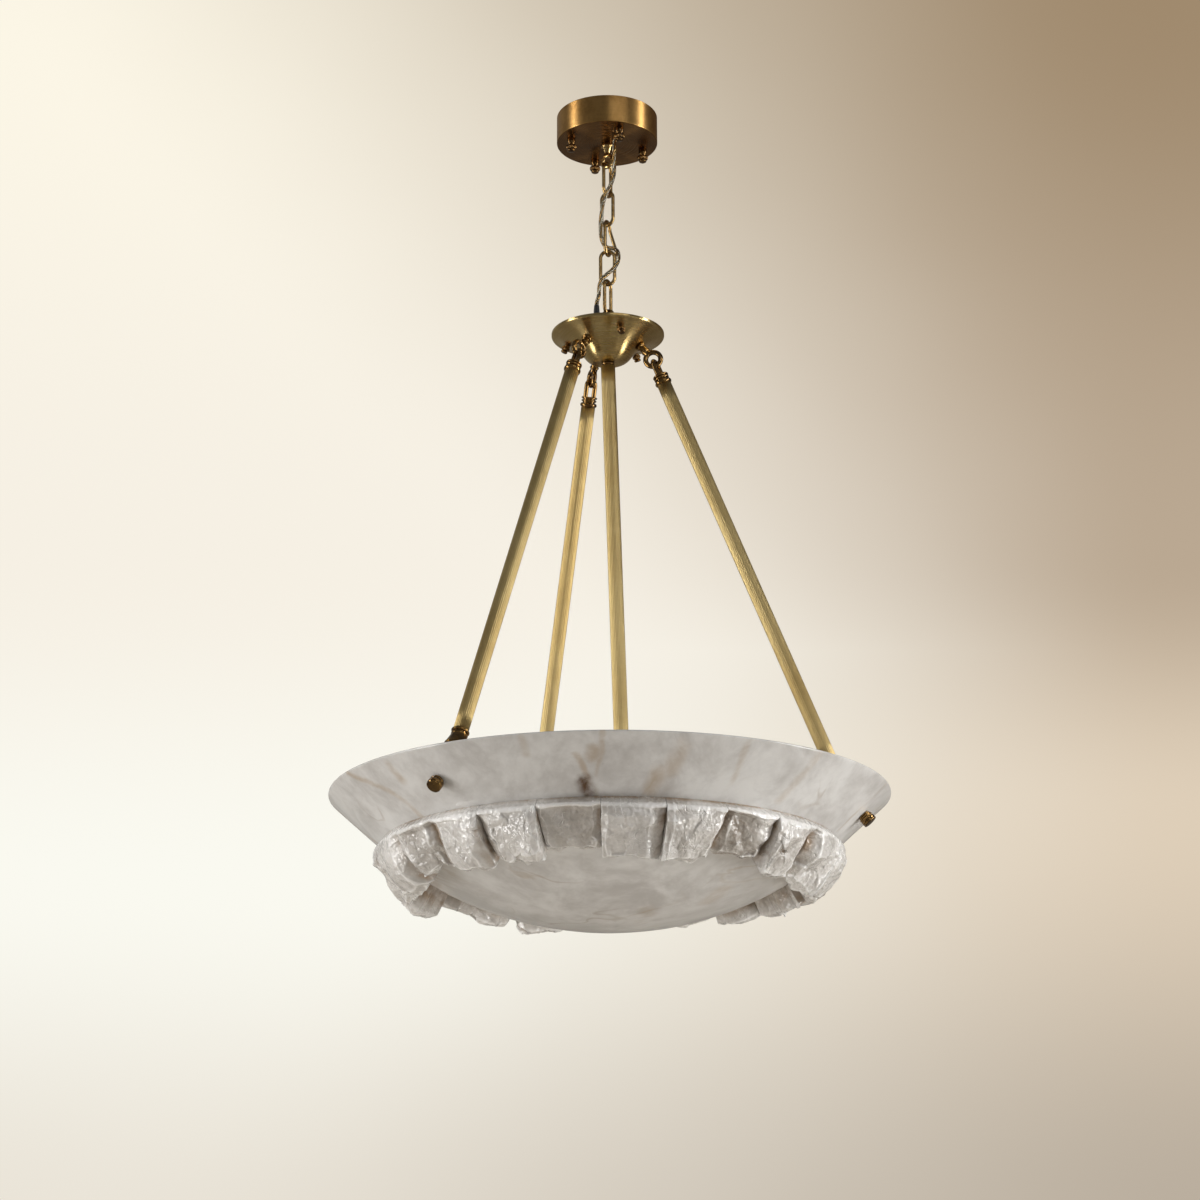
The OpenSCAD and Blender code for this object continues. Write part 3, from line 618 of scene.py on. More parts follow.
canopy.data.polygons.foreach_set("material_index", faces_down.astype(np.int32))

# %% [markdown]
# Four thumb nuts hold the canopy. Each is turned from bar: a plain collar, a waist, a knurled
# head and a small button. The knurl is a row of teeth round the head only. One nut is drawn,
# and copied to equal steps round the canopy's axis.
# %% Thumb nuts
def around_axis(skin, count, azimuth, place):
    """Copies of a skin at equal steps round the axis, joined to one skin"""
    return joined([skin_moved(skin, spoke(azimuth + 360 / count * k) @ place) for k in range(count)])


def teeth_from(radius, rise):
    """Teeth grow from nothing at a radius to their full depth where the outline is a rise further out"""
    return lambda outline: np.clip((outline[:, 0] - radius) / rise, 0, 1)


nut_outline = np.concatenate([
    [(0.3, 0.0), (4.5, 0.0), (4.7, -0.3)], [(4.7, -6.0), (4.4, -6.5), (3.6, -6.7), (3.6, -7.8)],
    bead_outline(6.3, -8.0, -13.8), bead_outline(4.4, -13.2, -16.3), [(0.3, -16.3)]])
knurled_head = turned(nut_outline, around=120, teeth=24, depth=0.55, toothed=teeth_from(5.0, 0.8))
nuts = around_axis(knurled_head, 4, nut_azimuth, shift(nut_circle_r, 0, -canopy_h))
add_piece("knurled_thumb_nuts", [nuts], [nut_brass], "canopy", stands_for=["thumb_nuts"])

# %% [markdown]
# The hub is a turned trumpet: a bright lip, a hollow flare and a rounded foot. It is the
# piece that shows its brushing most, as bright and dark wedges that run down the flare.
# %% Hub
hub_outer = np.concatenate([
    softened([(61.0, z_hub - 2), (61.0, z_hub), (hub_r, z_hub), (hub_r, z_hub - 3), (62.0, z_hub - 4.05)],
             0.6),
    arc(flare_c, flare_r, 102.6, 145.0, 40), arc(round_c, round_r, -36.0, -90.0, 16),
    [(9.0, z_hub - 34.8), (5.1, z_hub - 34.8)]])
hub_inner = np.concatenate([
    [(5.1, z_hub - 28.8), (14.0, z_hub - 28.8), (24.0, z_hub - 22.5)],
    arc(flare_c, flare_r + 3.2, 139.0, 107.0, 12), [(58.0, z_hub - 2)]])
hub_skin = turned(np.concatenate([hub_outer, hub_inner]), around=256, ends="loop")
add_piece("hub_trumpet", [hub_skin], [hub_brass], "hub", stands_for=["hub"])

# %% [markdown]
# Knobs on the flare: a neck, a knurled head and a button, three of them square to the flare.
# %% Hub knobs
knob_outline = np.concatenate([
    [(0.3, 6.0), (2.0, 6.0), (2.0, -0.3), (3.4, -0.5), (3.4, -1.7)],
    bead_outline(4.8, -1.8, -6.6), bead_outline(3.8, -6.4, -9.8), [(0.3, -9.8)]])
knob = turned(knob_outline, around=96, teeth=18, depth=0.5, toothed=teeth_from(3.9, 0.5))
knobs = around_axis(knob, 3, knob_azimuth, leaning(*on_flare(knob_slope), knob_slope))
add_piece("knurled_hub_knobs", [knobs], [nut_brass], "hub", stands_for=["hub_screws"])

# %% [markdown]
# The rods are reeded tubes: 24 convex reeds with a sharp groove between them. A reed is an
# arc of a circle, so the tube's radius at an angle is the outer radius less the depth where
# the power of a cosine falls to zero. Each rod is drawn upright and then leaned into place.
# %% Reeded rods
def reeded_tube(top, bottom, diameter, reeds, depth=0.4, rows=24):
    """Radius = d / 2 - depth + depth |cos(reeds t / 2)| ^ 0.7, from one height down to another"""
    around = reeds * 10
    t = circle(around)
    r = diameter / 2 - depth + depth * np.abs(np.cos(reeds * t / 2)) ** 0.7
    z = np.linspace(top, bottom, rows)[:, None] + 0 * t
    rings = np.stack([r * np.cos(t) + 0 * z, r * np.sin(t) + 0 * z, z], -1)
    return skin_of_rings(rings)


rod = reeded_tube(-rod_top, -rod_top - rod_len, rod_d, rod_reeds)
for k, name in enumerate(("rod_left", "rod_right", "rod_back")):
    place = spoke(rod_azimuth + 120 * k) @ leaning(ring_x, ring_z, rod_lean)
    add_piece("reeded_" + name, [rod], [rod_brass], "hub", stands_for=[name],
              place=place)
stem_place = leaning(0, z_pivot, stem_lean)
stem = reeded_tube(-stem_top, -stem_end, rod_d, rod_reeds)
add_piece("reeded_stem", [stem], [rod_brass], "hub", stands_for=["stem"],
          place=stem_place)

# %% [markdown]
# Wall bolts hold the bowl to the rod feet. Outside they show a barrel head: a washer, a neck
# and a short cylinder with rounded edges and a slightly domed end.
# %% Wall bolts
head_outline = np.concatenate([
    [(0.3, 5.0), (3.0, 5.0), (3.0, -26.45), (6.2, -26.5), (6.5, -26.8), (6.5, -27.7), (6.2, -27.95),
     (5.5, -28.0), (5.5, -28.4)], bead_outline(7.75, -28.45, -30.4, 7), [(7.75, -31.2), (7.75, -35.0)],
    bead_outline(7.75, -35.4, -37.2, 7), [(5.6, -37.3), (3.0, -37.42), (0.3, -37.45)]])
bolt = turned(head_outline, around=96)
bolts = around_axis(bolt, 3, rod_azimuth, leaning(ball_x, ball_z, wall_angle))
add_piece("barrel_wall_bolts", [bolts], [eye_brass], "hub", stands_for=["wall_bolts"])

# %% [markdown]
# The bowl is turned from one block of alabaster and polished by hand. Its outline runs from
# the middle of the underside up the sphere and the cone, over the rim, and down the inside.
# Hand polishing leaves a surface that is a few tenths of a millimetre uneven, and a polished
# surface shows it, so the wall is moved inwards a little by soft waves.
# %% Bowl
def bowl_outline():
    """Outer sphere and cone, rounded rim, inner cone and sphere"""
    inner_R = bowl_R - bowl_wall
    outer_arc = arc((0, z_sphere), bowl_R, -89.9, -90 + wall_angle, 90)
    cone = np.linspace(outer_arc[-1], (corner_r - 5.2, z_rim - 5.2 * math.tan(slope)), 22)[1:]
    rim_c = (corner_r - rim_round / math.tan(slope / 2), z_rim - rim_round)
    edge = arc(rim_c, rim_round, wall_angle - 90, 90, 9)
    inner_low = np.array((inner_R * math.sin(slope), z_sphere - inner_R * math.cos(slope)))
    rise = z_rim - inner_low[1]
    inner_top = np.array((inner_low[0] + rise / math.tan(slope), z_rim))
    lip = np.linspace(edge[-1], inner_top, 6)[1:-1]
    bevel = [inner_top - (0.7, 0), inner_top - (0.5, 0.9)]
    inner_cone = np.linspace(inner_top - 1.5 * np.array((1, math.tan(slope))), inner_low, 16)
    inner_arc = arc((0, z_sphere), inner_R, -90 + wall_angle, -89.9, 50)[1:]
    return np.concatenate([outer_arc, cone, edge, lip, bevel, inner_cone, inner_arc])


outline = bowl_outline()
bowl_skin = turned(outline, around=448)
p = bowl_skin["points"]
wave = (np.sin(p[:, 0] / 31 + 0.4) * np.sin(p[:, 1] / 27 + 1.1) * np.sin(p[:, 2] / 19)
        + 0.5 * np.sin(p[:, 0] / 13 + p[:, 2] / 11) * np.sin(p[:, 1] / 14 - 0.7))
wave_depth, still_rim, above_rim = 0.22, 2, 60
waved = wave_depth * (wave + 1.5) * (p[:, 2] < z_rim - still_rim)
bowl_skin["points"] = p + unit((0.0, 0.0, z_rim + above_rim) - p) * waved[:, None]

# %% [markdown]
# Alabaster is pale and a little clear. Light goes in and comes out softened, and under the polish lie clouds
# of grey, tan veins and a few brown stains. The clouds and the veins come from noise: a vein is where a slow
# noise crosses its middle value. The stains that make this bowl this bowl are placed one by one. Each is a
# short line on the stone, and its strength falls with the distance from the line, which a group of nodes
# works out.
# %% Stain group
def vector(tree, operation, a, b=None, scale=None):
    """One vector sum; a length or a scalar product comes out as a number"""
    node = add_node(tree, "ShaderNodeVectorMath", {0: a}, operation=operation)
    if b is not None:
        put(node.inputs[1], b)
    if scale is not None:
        put(node.inputs["Scale"], scale)
    return node.outputs["Value" if operation in ("DOT_PRODUCT", "LENGTH") else "Vector"]


def stain_group():
    """Strength, falling to 0 where the distance from the line between two points is the width"""
    group = bpy.data.node_groups.new("stone_stain", "ShaderNodeTree")
    for name in ("Place", "From", "To"):
        group.interface.new_socket(name=name, in_out="INPUT", socket_type="NodeSocketVector")
    for name in ("Width", "Strength"):
        group.interface.new_socket(name=name, in_out="INPUT", socket_type="NodeSocketFloat")
    group.interface.new_socket(name="Amount", in_out="OUTPUT", socket_type="NodeSocketFloat")
    given = add_node(group, "NodeGroupInput").outputs
    to_point = vector(group, "SUBTRACT", given["Place"], given["From"])
    line = vector(group, "SUBTRACT", given["To"], given["From"])
    share = calc(group, "DIVIDE", vector(group, "DOT_PRODUCT", to_point, line),
                 vector(group, "DOT_PRODUCT", line, line), clamp=True)
    nearest = vector(group, "SCALE", line, scale=share)
    distance = vector(group, "LENGTH", vector(group, "SUBTRACT", to_point, nearest))
    fall = calc(group, "DIVIDE", distance, given["Width"])
    amount = times(group, spread(group, fall, 0.15, 1.0, 1.0, 0.0), given["Strength"])
    put(add_node(group, "NodeGroupOutput").inputs["Amount"], amount)
    return group


stain = stain_group()
print("stain group sockets:", [item.name for item in stain.interface.items_tree])


def on_bowl(azimuth, drop):
    """Point on the outer wall, in metres, from its azimuth and its depth below the rim"""
    z = z_rim - drop
    level = z_sphere - bowl_R * math.cos(slope)
    r = corner_r - drop / math.tan(slope) if z > level else math.sqrt(bowl_R ** 2 - (z - z_sphere) ** 2)
    a = math.radians(azimuth)
    return (r * math.sin(a) * MM, -r * math.cos(a) * MM, z * MM)


# %% [markdown]
# The marks on the stone, each as azimuth and depth of both ends, width in millimetres and strength. The
# first list is tan stains, soft, the second brown stains, small, and the third makes a few blocks of the
# band darker grey-brown, blocks which stand up to 31 mm off the wall.
# %% Alabaster
tan_stains = [
    ((-63.1, 3), (-54.3, 31), 7, 0.5), ((-54.3, 31), (-51.1, 53), 7, 0.45),
    ((-49, 9.5), (-48.9, 22), 8, 0.45), ((-16.7, 3), (-17.9, 20), 6, 0.25), ((-2.2, 1), (-2.4, 56), 5, 0.5),
    ((-3.6, 15), (-3.8, 22), 13, 0.5), ((-7.5, 20), (-4, 46), 6, 0.5),
    ((14.5, 12), (12.8, 30), 14, 0.4), ((11, 34), (9.8, 48), 12, 0.45), ((27.5, 2), (27.0, 34), 6, 0.3),
    ((44.3, 5), (41.5, 45), 9, 0.3), ((74.9, 2), (74.3, 47), 5, 0.4), ((56.7, 115), (62, 121), 16, 0.3),
    ((29.2, 132), (40, 134), 15, 0.25), ((-96, 5), (-88, 50), 8, 0.45), ((118, 4), (112, 40), 8, 0.4),
    ((160, 8), (150, 44), 10, 0.4), ((-150, 5), (-141, 48), 9, 0.4)]
brown_stains = [
    ((-5.5, 44), (-4.0, 56), 14, 1.0), ((-1.3, 28), (-1.3, 30), 2.5, 0.9), ((131, 30), (128, 42), 9, 0.6)]
# The third list makes a few blocks of the band darker grey-brown.
grey_brown_blocks = [
    ((-9, 60), (-4, 70), 44, 0.55), ((30, 66), (36, 84), 48, 0.9), ((48, 70), (52, 86), 46, 0.7),
    ((-56, 60), (-52, 80), 42, 0.5), ((15, 50), (17, 76), 38, 0.5)]


def line_of(tree, value, low, high):
    """1 where a noise crosses its middle value 0.5, falling to 0 a little beside it"""
    return spread(tree, calc(tree, "ABSOLUTE", minus(tree, value, 0.5)), low, high, 1.0, 0.0)


def pushed_about(tree, place, scale, detail, reach, middle=0.5):
    """Place + reach (colour noise - middle): the same place, shifted by a slow random vector"""
    colours = noise(tree, place, scale, detail, roughness=0.5, output="Color")
    centred = vector(tree, "SUBTRACT", colours, (middle,) * 3)
    return vector(tree, "ADD", place, vector(tree, "SCALE", centred, scale=reach))


def alabaster(name, pale, cloudy, roughness, stains=(), glow=0.15):
    """Clouds, veins, stains and a soft glow under the surface"""
    material, tree, shader = new_material(
        name, roughness=roughness, Subsurface_Weight=glow, Subsurface_Scale=0.006,
        Subsurface_Radius=(1.0, 0.95, 0.9), Specular_IOR_Level=0.5, IOR=1.52)
    place = coordinates(tree, "Object")
    bent = pushed_about(tree, place, scale=14.0, detail=3.0, reach=0.03)
    cloud = noise(tree, bent, 11.0, detail=7, roughness=0.62, distortion=0.6)
    mottle = noise(tree, bent, 55.0, detail=4, roughness=0.6)
    both = plus(tree, times(tree, cloud, 0.7), times(tree, mottle, 0.3))
    colour = blend_colours(tree, spread(tree, both, 0.36, 0.66), pale, cloudy)
    vein = line_of(tree, noise(tree, bent, 5.5, detail=4, roughness=0.5, distortion=1.2), 0.002, 0.022)
    where = spread(tree, noise(tree, place, 7.0, detail=2), 0.5, 0.68)
    colour = blend_colours(tree, times(tree, times(tree, vein, where), 0.38), colour, (170, 148, 120))
    thin = line_of(tree, noise(tree, bent, 8.0, detail=2, roughness=0.5, distortion=0.4), 0.001, 0.012)
    where = spread(tree, noise(tree, place, 9.0, detail=3), 0.54, 0.66)
    colour = blend_colours(tree, times(tree, times(tree, thin, where), 0.3), colour, (146, 122, 96))
    for ends, tint in stains:
        amount = None
        for start, end, width, strength in ends:
            node = add_node(tree, "ShaderNodeGroup", node_tree=stain)
            fill(node, Place=bent, From=on_bowl(*start), To=on_bowl(*end), Width=width * MM,
                 Strength=strength)
            value = node.outputs["Amount"]
            amount = value if amount is None else calc(tree, "MAXIMUM", amount, value)
        broken = times(tree, amount, spread(tree, mottle, 0.3, 0.6, 0.45, 1.0))
        colour = blend_colours(tree, broken, colour, tint)
    return material, tree, shader, colour, mottle


def finish_bowl():
    """Polished stone: the colour goes straight in, and the bump is only a breath"""
    material, tree, shader, colour, mottle = alabaster(
        "polished_alabaster", (224, 223, 221), (190, 187, 184), 0.2,
        stains=((tan_stains, (174, 150, 120)), (brown_stains, (96, 72, 52))))
    fill(shader, Base_Color=colour, Roughness=spread(tree, mottle, 0.3, 0.7, 0.15, 0.27))
    bump(tree, shader, mottle, 0.05, 0.0008)
    return material


bowl_stone = finish_bowl()
add_piece("alabaster_bowl", [bowl_skin], [bowl_stone], "hub", stands_for=["bowl"])

# %% [markdown]
# The band is 24 blocks of the same stone, broken with a chisel and hardly polished. A broken
# face is made of chips that meet in sharp ridges. Two ways of making chips are used together.
# The large ones are a net of triangles with random heights at the corners, joined by flat
# pieces. The small ones are cells: every point belongs to its nearest seed, and every seed
# carries its own tilted plane, so that neighbouring chips meet in a small step, as split
# stone does. The large chips also push sideways, which undercuts some edges.
# %% Chipped surface
def chips(x, y, table):
    """Random heights at the corners of a net of right triangles, joined by flat pieces"""
    i, j = np.floor(x).astype(int), np.floor(y).astype(int)
    a, b = x - i, y - j
    size = len(table)
    h00, h11 = table[i % size, j % size], table[(i + 1) % size, (j + 1) % size]
    h10, h01 = table[(i + 1) % size, j % size], table[i % size, (j + 1) % size]
    low = h00 + a * (h10 - h00) + b * (h11 - h10)
    high = h00 + b * (h01 - h00) + a * (h11 - h01)
    return np.where(a >= b, low, high)


def chipped(x, y, random, facet):
    """Chips of one size on a plane that is turned and bent by a slow wave"""
    table = random.uniform(-1, 1, (31, 31))
    turn = random.uniform(0, 3)
    c, s = np.cos(turn), np.sin(turn)
    bend_x = 0.3 * np.sin(y / facet * 0.9 + random.uniform(0, 6))
    bend_y = 0.3 * np.sin(x / facet * 0.8 + random.uniform(0, 6))
    return chips((c * x - s * y) / facet + bend_x + 40, (s * x + c * y) / facet + bend_y + 40, table)


def split_cells(x, y, random, count, tilt, step):
    """Nearest seed's plane: step times its own number + slope times the distance from the seed"""
    seeds = random.uniform((-8, -8), (72, 72), (count, 2))
    slopes = random.normal(0, tilt, (count, 2))
    levels = random.uniform(-1, 1, count) * step
    dx, dy = x[..., None] - seeds[:, 0], y[..., None] - seeds[:, 1]
    stretch = random.uniform(0.6, 1.6, count)
    nearest = np.argmin(dx ** 2 * stretch + dy ** 2 / stretch, axis=-1)
    picked = nearest[..., None]
    near_x = np.take_along_axis(dx, picked, -1)[..., 0]
    near_y = np.take_along_axis(dy, picked, -1)[..., 0]
    return levels[nearest] + slopes[nearest, 0] * near_x + slopes[nearest, 1] * near_y


def smoothed(field, rounds):
    """Each value becomes the mean of itself and its four neighbours, several times over"""
    for _ in range(rounds):
        padded = np.pad(field, 1, mode="edge")
        field = (field + padded[:-2, 1:-1] + padded[2:, 1:-1] + padded[1:-1, :-2] + padded[1:-1, 2:]) / 5
    return field


# %% [markdown]
# One block is a sheet of points over its patch of the bowl. The rows run from the upper edge
# down, the columns along the band. The outermost rows and columns fold down to the bowl and
# make the block's sides, and a fan behind the bowl's surface closes it. Beside its two upright
# edges and along its lower edge a block is cut back, ragged by the middle chips. How deep the
# upright cuts are, 0 to 1 for left and right, is set for the blocks whose clefts can be seen
# and drawn at random for the others. The far blocks have rounder lower corners.
# %% One stone block
rock_step, rock_start, rock_gap = 15.0, -2.0, 0.1
deep_cuts = {1: (0.1, 0.9), 2: (0.3, 0.1), 3: (0.7, 0.2), 4: (0.2, 1.0),
             21: (0.3, 0.8), 22: (0.5, 0.8), 23: (0.5, 0.2), 24: (0.1, 0.3)}
far_blocks, facets = range(9, 19), (27.0, 11.5, 4.6, 13.0, 13.0)
patch_width, patch_height, least_height, sunk = 60, 55, 3.0, 3.0
side_share, top_share, bottom_share = 0.17, 0.10, 0.16
uv_step, fan_depth = 0.6, 0.012
row_below = np.array([17.5, 26.0, 36.0, 48.0, 60.0, 72.0])
row_height = np.array([11.0, 18.0, 23.0, 26.5, 29.0, 31.0])


def block(i, extra, slide, longer, tilt, big, middle, small, columns=120, rows=112):
    """Height over the sphere = drawn height + chips; place = sphere centre + (R + height) direction"""
    random = np.random.default_rng(900 + i)
    s = np.linspace(-side_share, 1 + side_share, columns)[None, :]
    t = np.linspace(-top_share, 1 + bottom_share, rows)[:, None]
    u, v = np.clip(s, 0, 1) + 0 * t, np.clip(t, 0, 1) + 0 * s
    side_fall = np.maximum(-s, s - 1) / side_share
    end_fall = np.maximum(-t / top_share, (t - 1) / bottom_share)
    fall = np.clip(np.maximum(side_fall + 0 * t, end_fall + 0 * s), 0, 1)
    x, y = u * patch_width, v * patch_height
    large, mid, fine, side_u, side_v = [chipped(x, y, random, facet) for facet in facets]
    cells = split_cells(x, y, random, 26, 0.16, 0.5) + split_cells(x, y, random, 150, 0.12, 0.22)
    cut_left, cut_right = deep_cuts.get(i, random.uniform(0, 1, 2) ** 2.5)
    cut = np.where(u < 0.5, cut_left, cut_right)
    edge_u = np.minimum((u + 0.04 * mid * (u < 0.5)) / (0.06 + 0.2 * cut_left),
                        (1 - u + 0.04 * mid * (u > 0.5)) / (0.06 + 0.2 * cut_right))
    edge_v = (1 - v + 0.03 * mid) / 0.1
    edge_raw = np.minimum(edge_u, edge_v)
    edge = np.clip(edge_raw, 0, 1)
    deep = np.where(edge_v < edge_u, 5.0, 1.4 + 7 * cut)
    # tan sets how strong the brown painted shade is in the cut-back edges.
    tan = np.where(edge_v < edge_u, 0.3, 0.5 + 0.9 * cut)
    down = np.clip(v * 5, 0, 1)
    height = np.interp(v, np.linspace(0, 1, 6), row_height) + (extra + tilt * (2 * u - 1)) * down
    height = height + (0.8 + 1.2 * mid) * np.exp(-((v - 0.04) / 0.04) ** 2)
    height = height + down * (1.9 * big * large + 0.8 * middle * mid + 0.3 * small * cells) + 0.12 * fine
    height = height - deep * (1 + 0.3 * mid) * (1 - edge) * np.clip(0.15 + v * 3, 0, 1)
    height = np.maximum(height, least_height)
    along = np.interp(v, np.linspace(0, 1, 6), row_below)
    polar = wall_angle - np.degrees(along / bowl_R)
    corner = random.uniform(0.3, 0.7) * np.abs(2 * u - 1) ** 3
    if i in far_blocks:
        corner = 5.0 * corner + random.uniform(0.0, 1.2)
    polar = polar + (longer + corner + 0.7 * mid + 0.5 * side_u) * v ** 3 + 0.22 * side_v * edge * down
    slid = 0.6 * slide * v * (1 - u if slide > 0 else u)
    left, right = rock_start + rock_step * (i - 1), rock_start + rock_step * i
    azimuth = left + rock_gap / 2 + (rock_step - rock_gap) * u + slid
    azimuth = azimuth + (0.4 * side_u * edge + 0.15 * side_v * (1 - edge)) * down
    azimuth = np.clip(azimuth, left + 0.03, right - 0.03)
    height = height * (1 - fall) - sunk * fall + 1.6 * mid * fall * (1 - fall)
    # crest marks the block outlines and the upper edge for a painted highlight.
    crest_highlight = np.exp(-((edge_raw - 1.05) / 0.12) ** 2) + np.exp(-((v - 0.03) / 0.04) ** 2)
    # hollow is the mask of painted shade: concave points, the folded sides and the cut-back edges, less the
    # crests.
    hollow = 0.6 * (smoothed(height, 25) - height) + 0.4 * (smoothed(height, 90) - height)
    hollow = hollow + 2.5 * fall + 3.0 * tan * (1 - edge) ** 1.5 * down - 1.6 * crest_highlight * (0.7 + 0.5 * mid)
    a, q = np.radians(azimuth), np.radians(polar)
    reach = bowl_R + height
    rings = np.stack([reach * np.sin(q) * np.sin(a), -reach * np.sin(q) * np.cos(a),
                      z_sphere - reach * np.cos(q)], -1)
    return rings, hollow


def sheet_skin(grid):
    """Four-sided faces over a sheet, and a fan from its border to one point behind it"""
    rows, columns = grid.shape[:2]
    r, c = np.meshgrid(np.arange(rows - 1), np.arange(columns - 1), indexing="ij")
    corner = (r * columns + c).ravel()
    quads = np.stack([corner, corner + columns, corner + columns + 1, corner + 1], -1)
    top, bottom = np.arange(columns), (rows - 1) * columns + np.arange(columns)
    left, right = np.arange(rows) * columns, np.arange(rows) * columns + columns - 1
    border = np.concatenate([top[:-1], right[:-1], bottom[:0:-1], left[:0:-1]])
    behind = grid.reshape(-1, 3)[border].mean(0)
    behind = behind + (np.array([0, 0, z_sphere]) - behind) * fan_depth
    points = np.concatenate([grid.reshape(-1, 3), behind[None]])
    centre = np.full(len(border), rows * columns)
    fan = np.stack([centre, border, np.roll(border, -1)], -1)
    u, v, step = c.ravel() * uv_step, r.ravel() * uv_step, uv_step
    quad_uv = np.stack([np.stack([u, u, u + step, u + step], -1),
                        np.stack([v, v + step, v + step, v], -1)], -1)
    fan_uv = np.zeros((len(border), 3, 2))
    return facing_out(points, [quads, fan], [quad_uv, fan_uv])


# %% [markdown]
# Broken alabaster is the same stone with other light: every chip has its own gloss, the hollows, clefts and
# sides of the blocks are painted brown as painted shade, and the ridges are painted white as a painted
# highlight. How deep a point lies is known when the block is made, so it is stored in the mesh and the
# material reads it.
# %% Rough alabaster
def finish_rock():
    """Clouds of stone, painted brown shade in the clefts, painted white highlights on the ridges and a gloss
    that changes from chip to chip
    """
    material, tree, shader, colour, mottle = alabaster(
        "broken_alabaster", (226, 223, 219), (188, 184, 179), 0.2, glow=0.08,
        stains=((grey_brown_blocks, (132, 118, 102)),))
    stored = add_node(tree, "ShaderNodeAttribute", attribute_name="hollow", attribute_type="GEOMETRY")
    depth = stored.outputs["Fac"]
    place = coordinates(tree, "Object")
    patch = noise(tree, place, 26.0, detail=3)
    # Painted shade: brown where the stored value is high, in hollows, clefts and between blocks.
    painted_cleft_shade = times(tree, spread(tree, depth, 0.3, 3.2), spread(tree, patch, 0.4, 0.6, 0.35, 1.0))
    colour = blend_colours(tree, times(tree, painted_cleft_shade, 0.8), colour, (150, 124, 94))
    # Painted highlight: near-white where the stored value is below zero, on ridges and crests.
    ridge_highlight = spread(tree, depth, -0.4, -2.0)
    colour = blend_colours(tree, times(tree, ridge_highlight, 0.75), colour, (250, 249, 247))
    facet = add_node(tree, "ShaderNodeTexVoronoi", {"Vector": place, "Scale": 210.0, "Smoothness": 0.2},
                     feature="SMOOTH_F1").outputs["Distance"]
    shaken = pushed_about(tree, place, scale=60.0, detail=2.0, reach=0.02, middle=0.0)
    cells = add_node(tree, "ShaderNodeTexVoronoi", {"Vector": shaken, "Scale": 130.0},
                     feature="DISTANCE_TO_EDGE")
    crack = spread(tree, cells.outputs["Distance"], 0.0, 0.09, 1.0, 0.0)
    crack = times(tree, crack, spread(tree, noise(tree, place, 40.0, detail=2), 0.5, 0.62))
    colour = blend_colours(tree, times(tree, crack, 0.3), colour, (244, 241, 236))
    grain = noise(tree, place, 900.0, detail=3, roughness=0.6)
    sugar = noise(tree, place, 150.0, detail=4, roughness=0.6)
    fill(shader, Base_Color=colour, Roughness=spread(tree, sugar, 0.35, 0.65, 0.08, 0.34),
         Coat_Weight=0.6, Coat_Roughness=0.1)
    height = plus(tree, times(tree, sugar, 0.5), times(tree, grain, 0.1))
    height = plus(tree, height, times(tree, facet, 0.9))
    bump(tree, shader, minus(tree, height, times(tree, crack, 0.5)), 0.85, 0.001)
    fill(shader, Coat_Normal=shader.inputs["Normal"].links[0].from_socket)
    return material


rock_stone = finish_rock()

# %% [markdown]
# No two blocks stand alike. Each row below is one block, from the front to the right and
# round: how far it stands out, how its lower edge leans, how much shorter it is, how much its
# right side stands out more than its left, and how deep its large, middle and small chips
# are, all in millimetres or degrees. The first four are the drawing's own.
# %% Stone band
block_kinds = [
    (2, 0, -0.1, 2, 1.5, 1.0, 1.0), (2, -2.6, 0, -5, 2.5, 1.2, 1.0), (-7, -1.8, 0.3, 3, 3.5, 2.2, 1.2),
    (3, -1.2, -0.3, -4, 3.0, 2.6, 1.4), (0, 0.8, -1.1, 5, 4.0, 3.0, 1.6), (3, 0.4, -0.4, -4, 3.5, 2.6, 1.4),
    (-3, 0.8, 0.3, 3, 3.0, 2.0, 1.2), (2, -0.8, -0.5, -4, 3.5, 2.4, 1.4), (0, 0.6, 0.2, 4, 3.0, 1.8, 1.2),
    (2, -0.6, -0.4, -3, 3.5, 2.2, 1.2), (-6, 0.9, 0.8, 3, 2.5, 1.6, 1.0), (-5, -0.7, 0.9, -3, 2.5, 1.6, 1.0),
    (-4, 0.5, 0.7, 2, 2.5, 1.8, 1.2), (6, -0.9, -0.2, -3, 4.0, 2.6, 1.4), (0, 0.8, 0.1, 3, 3.0, 2.0, 1.2),
    (-8, -0.5, 0.8, -2, 2.0, 1.6, 1.0), (0, 0.7, -0.3, 3, 3.5, 2.4, 1.4), (-3, -0.8, 0.3, -4, 3.5, 2.4, 1.2),
    (2, 0.9, -0.4, 4, 3.5, 2.4, 1.4), (4, 1.4, -0.8, -5, 3.0, 2.0, 1.2), (-4, 1.6, 0.2, -3, 3.0, 2.4, 1.4),
    (1, 2.2, 0, 5, 2.5, 1.6, 1.2), (2, 2.2, -0.2, 4, 2.0, 1.2, 1.4), (-7, 0.6, 0.5, 1, 1.5, 0.9, 0.8)]
for number, kind in enumerate(block_kinds, start=1):
    grid, hollow = block(number, *kind)
    skin = sheet_skin(grid)
    add_piece(f"stone_block_{number}", [skin], [rock_stone], "hub", stands_for=[f"rock_{number}"],
              features={"hollow": np.append(hollow.ravel(), 0.0)})

# %% [markdown]
# The pieces whose CAD shape is already right keep it and only get a finish. The plain ones
# are plastic, rubber, plated steel and glass, and each has a little of what real ones have:
# moulding haze, dust, grain or a soft unevenness.
# %% Plain finishes
def moulded(name, light, dark, roughness, scale=220.0, strength=0.08, **more):
    """Moulded or plated surface: two close tones, uneven gloss and a fine grain"""
    material, tree, shader = new_material(name, roughness=roughness, **more)
    place = coordinates(tree, "Object")
    soft = noise(tree, place, scale / 8, detail=3)
    grain = noise(tree, place, scale * 3, detail=3)
    fill(shader, Base_Color=blend_colours(tree, spread(tree, soft, 0.35, 0.65), light, dark),
         Roughness=spread(tree, grain, 0.3, 0.7, roughness * 0.85, roughness * 1.2))
    bump(tree, shader, grain, strength, 0.0003)
    return material


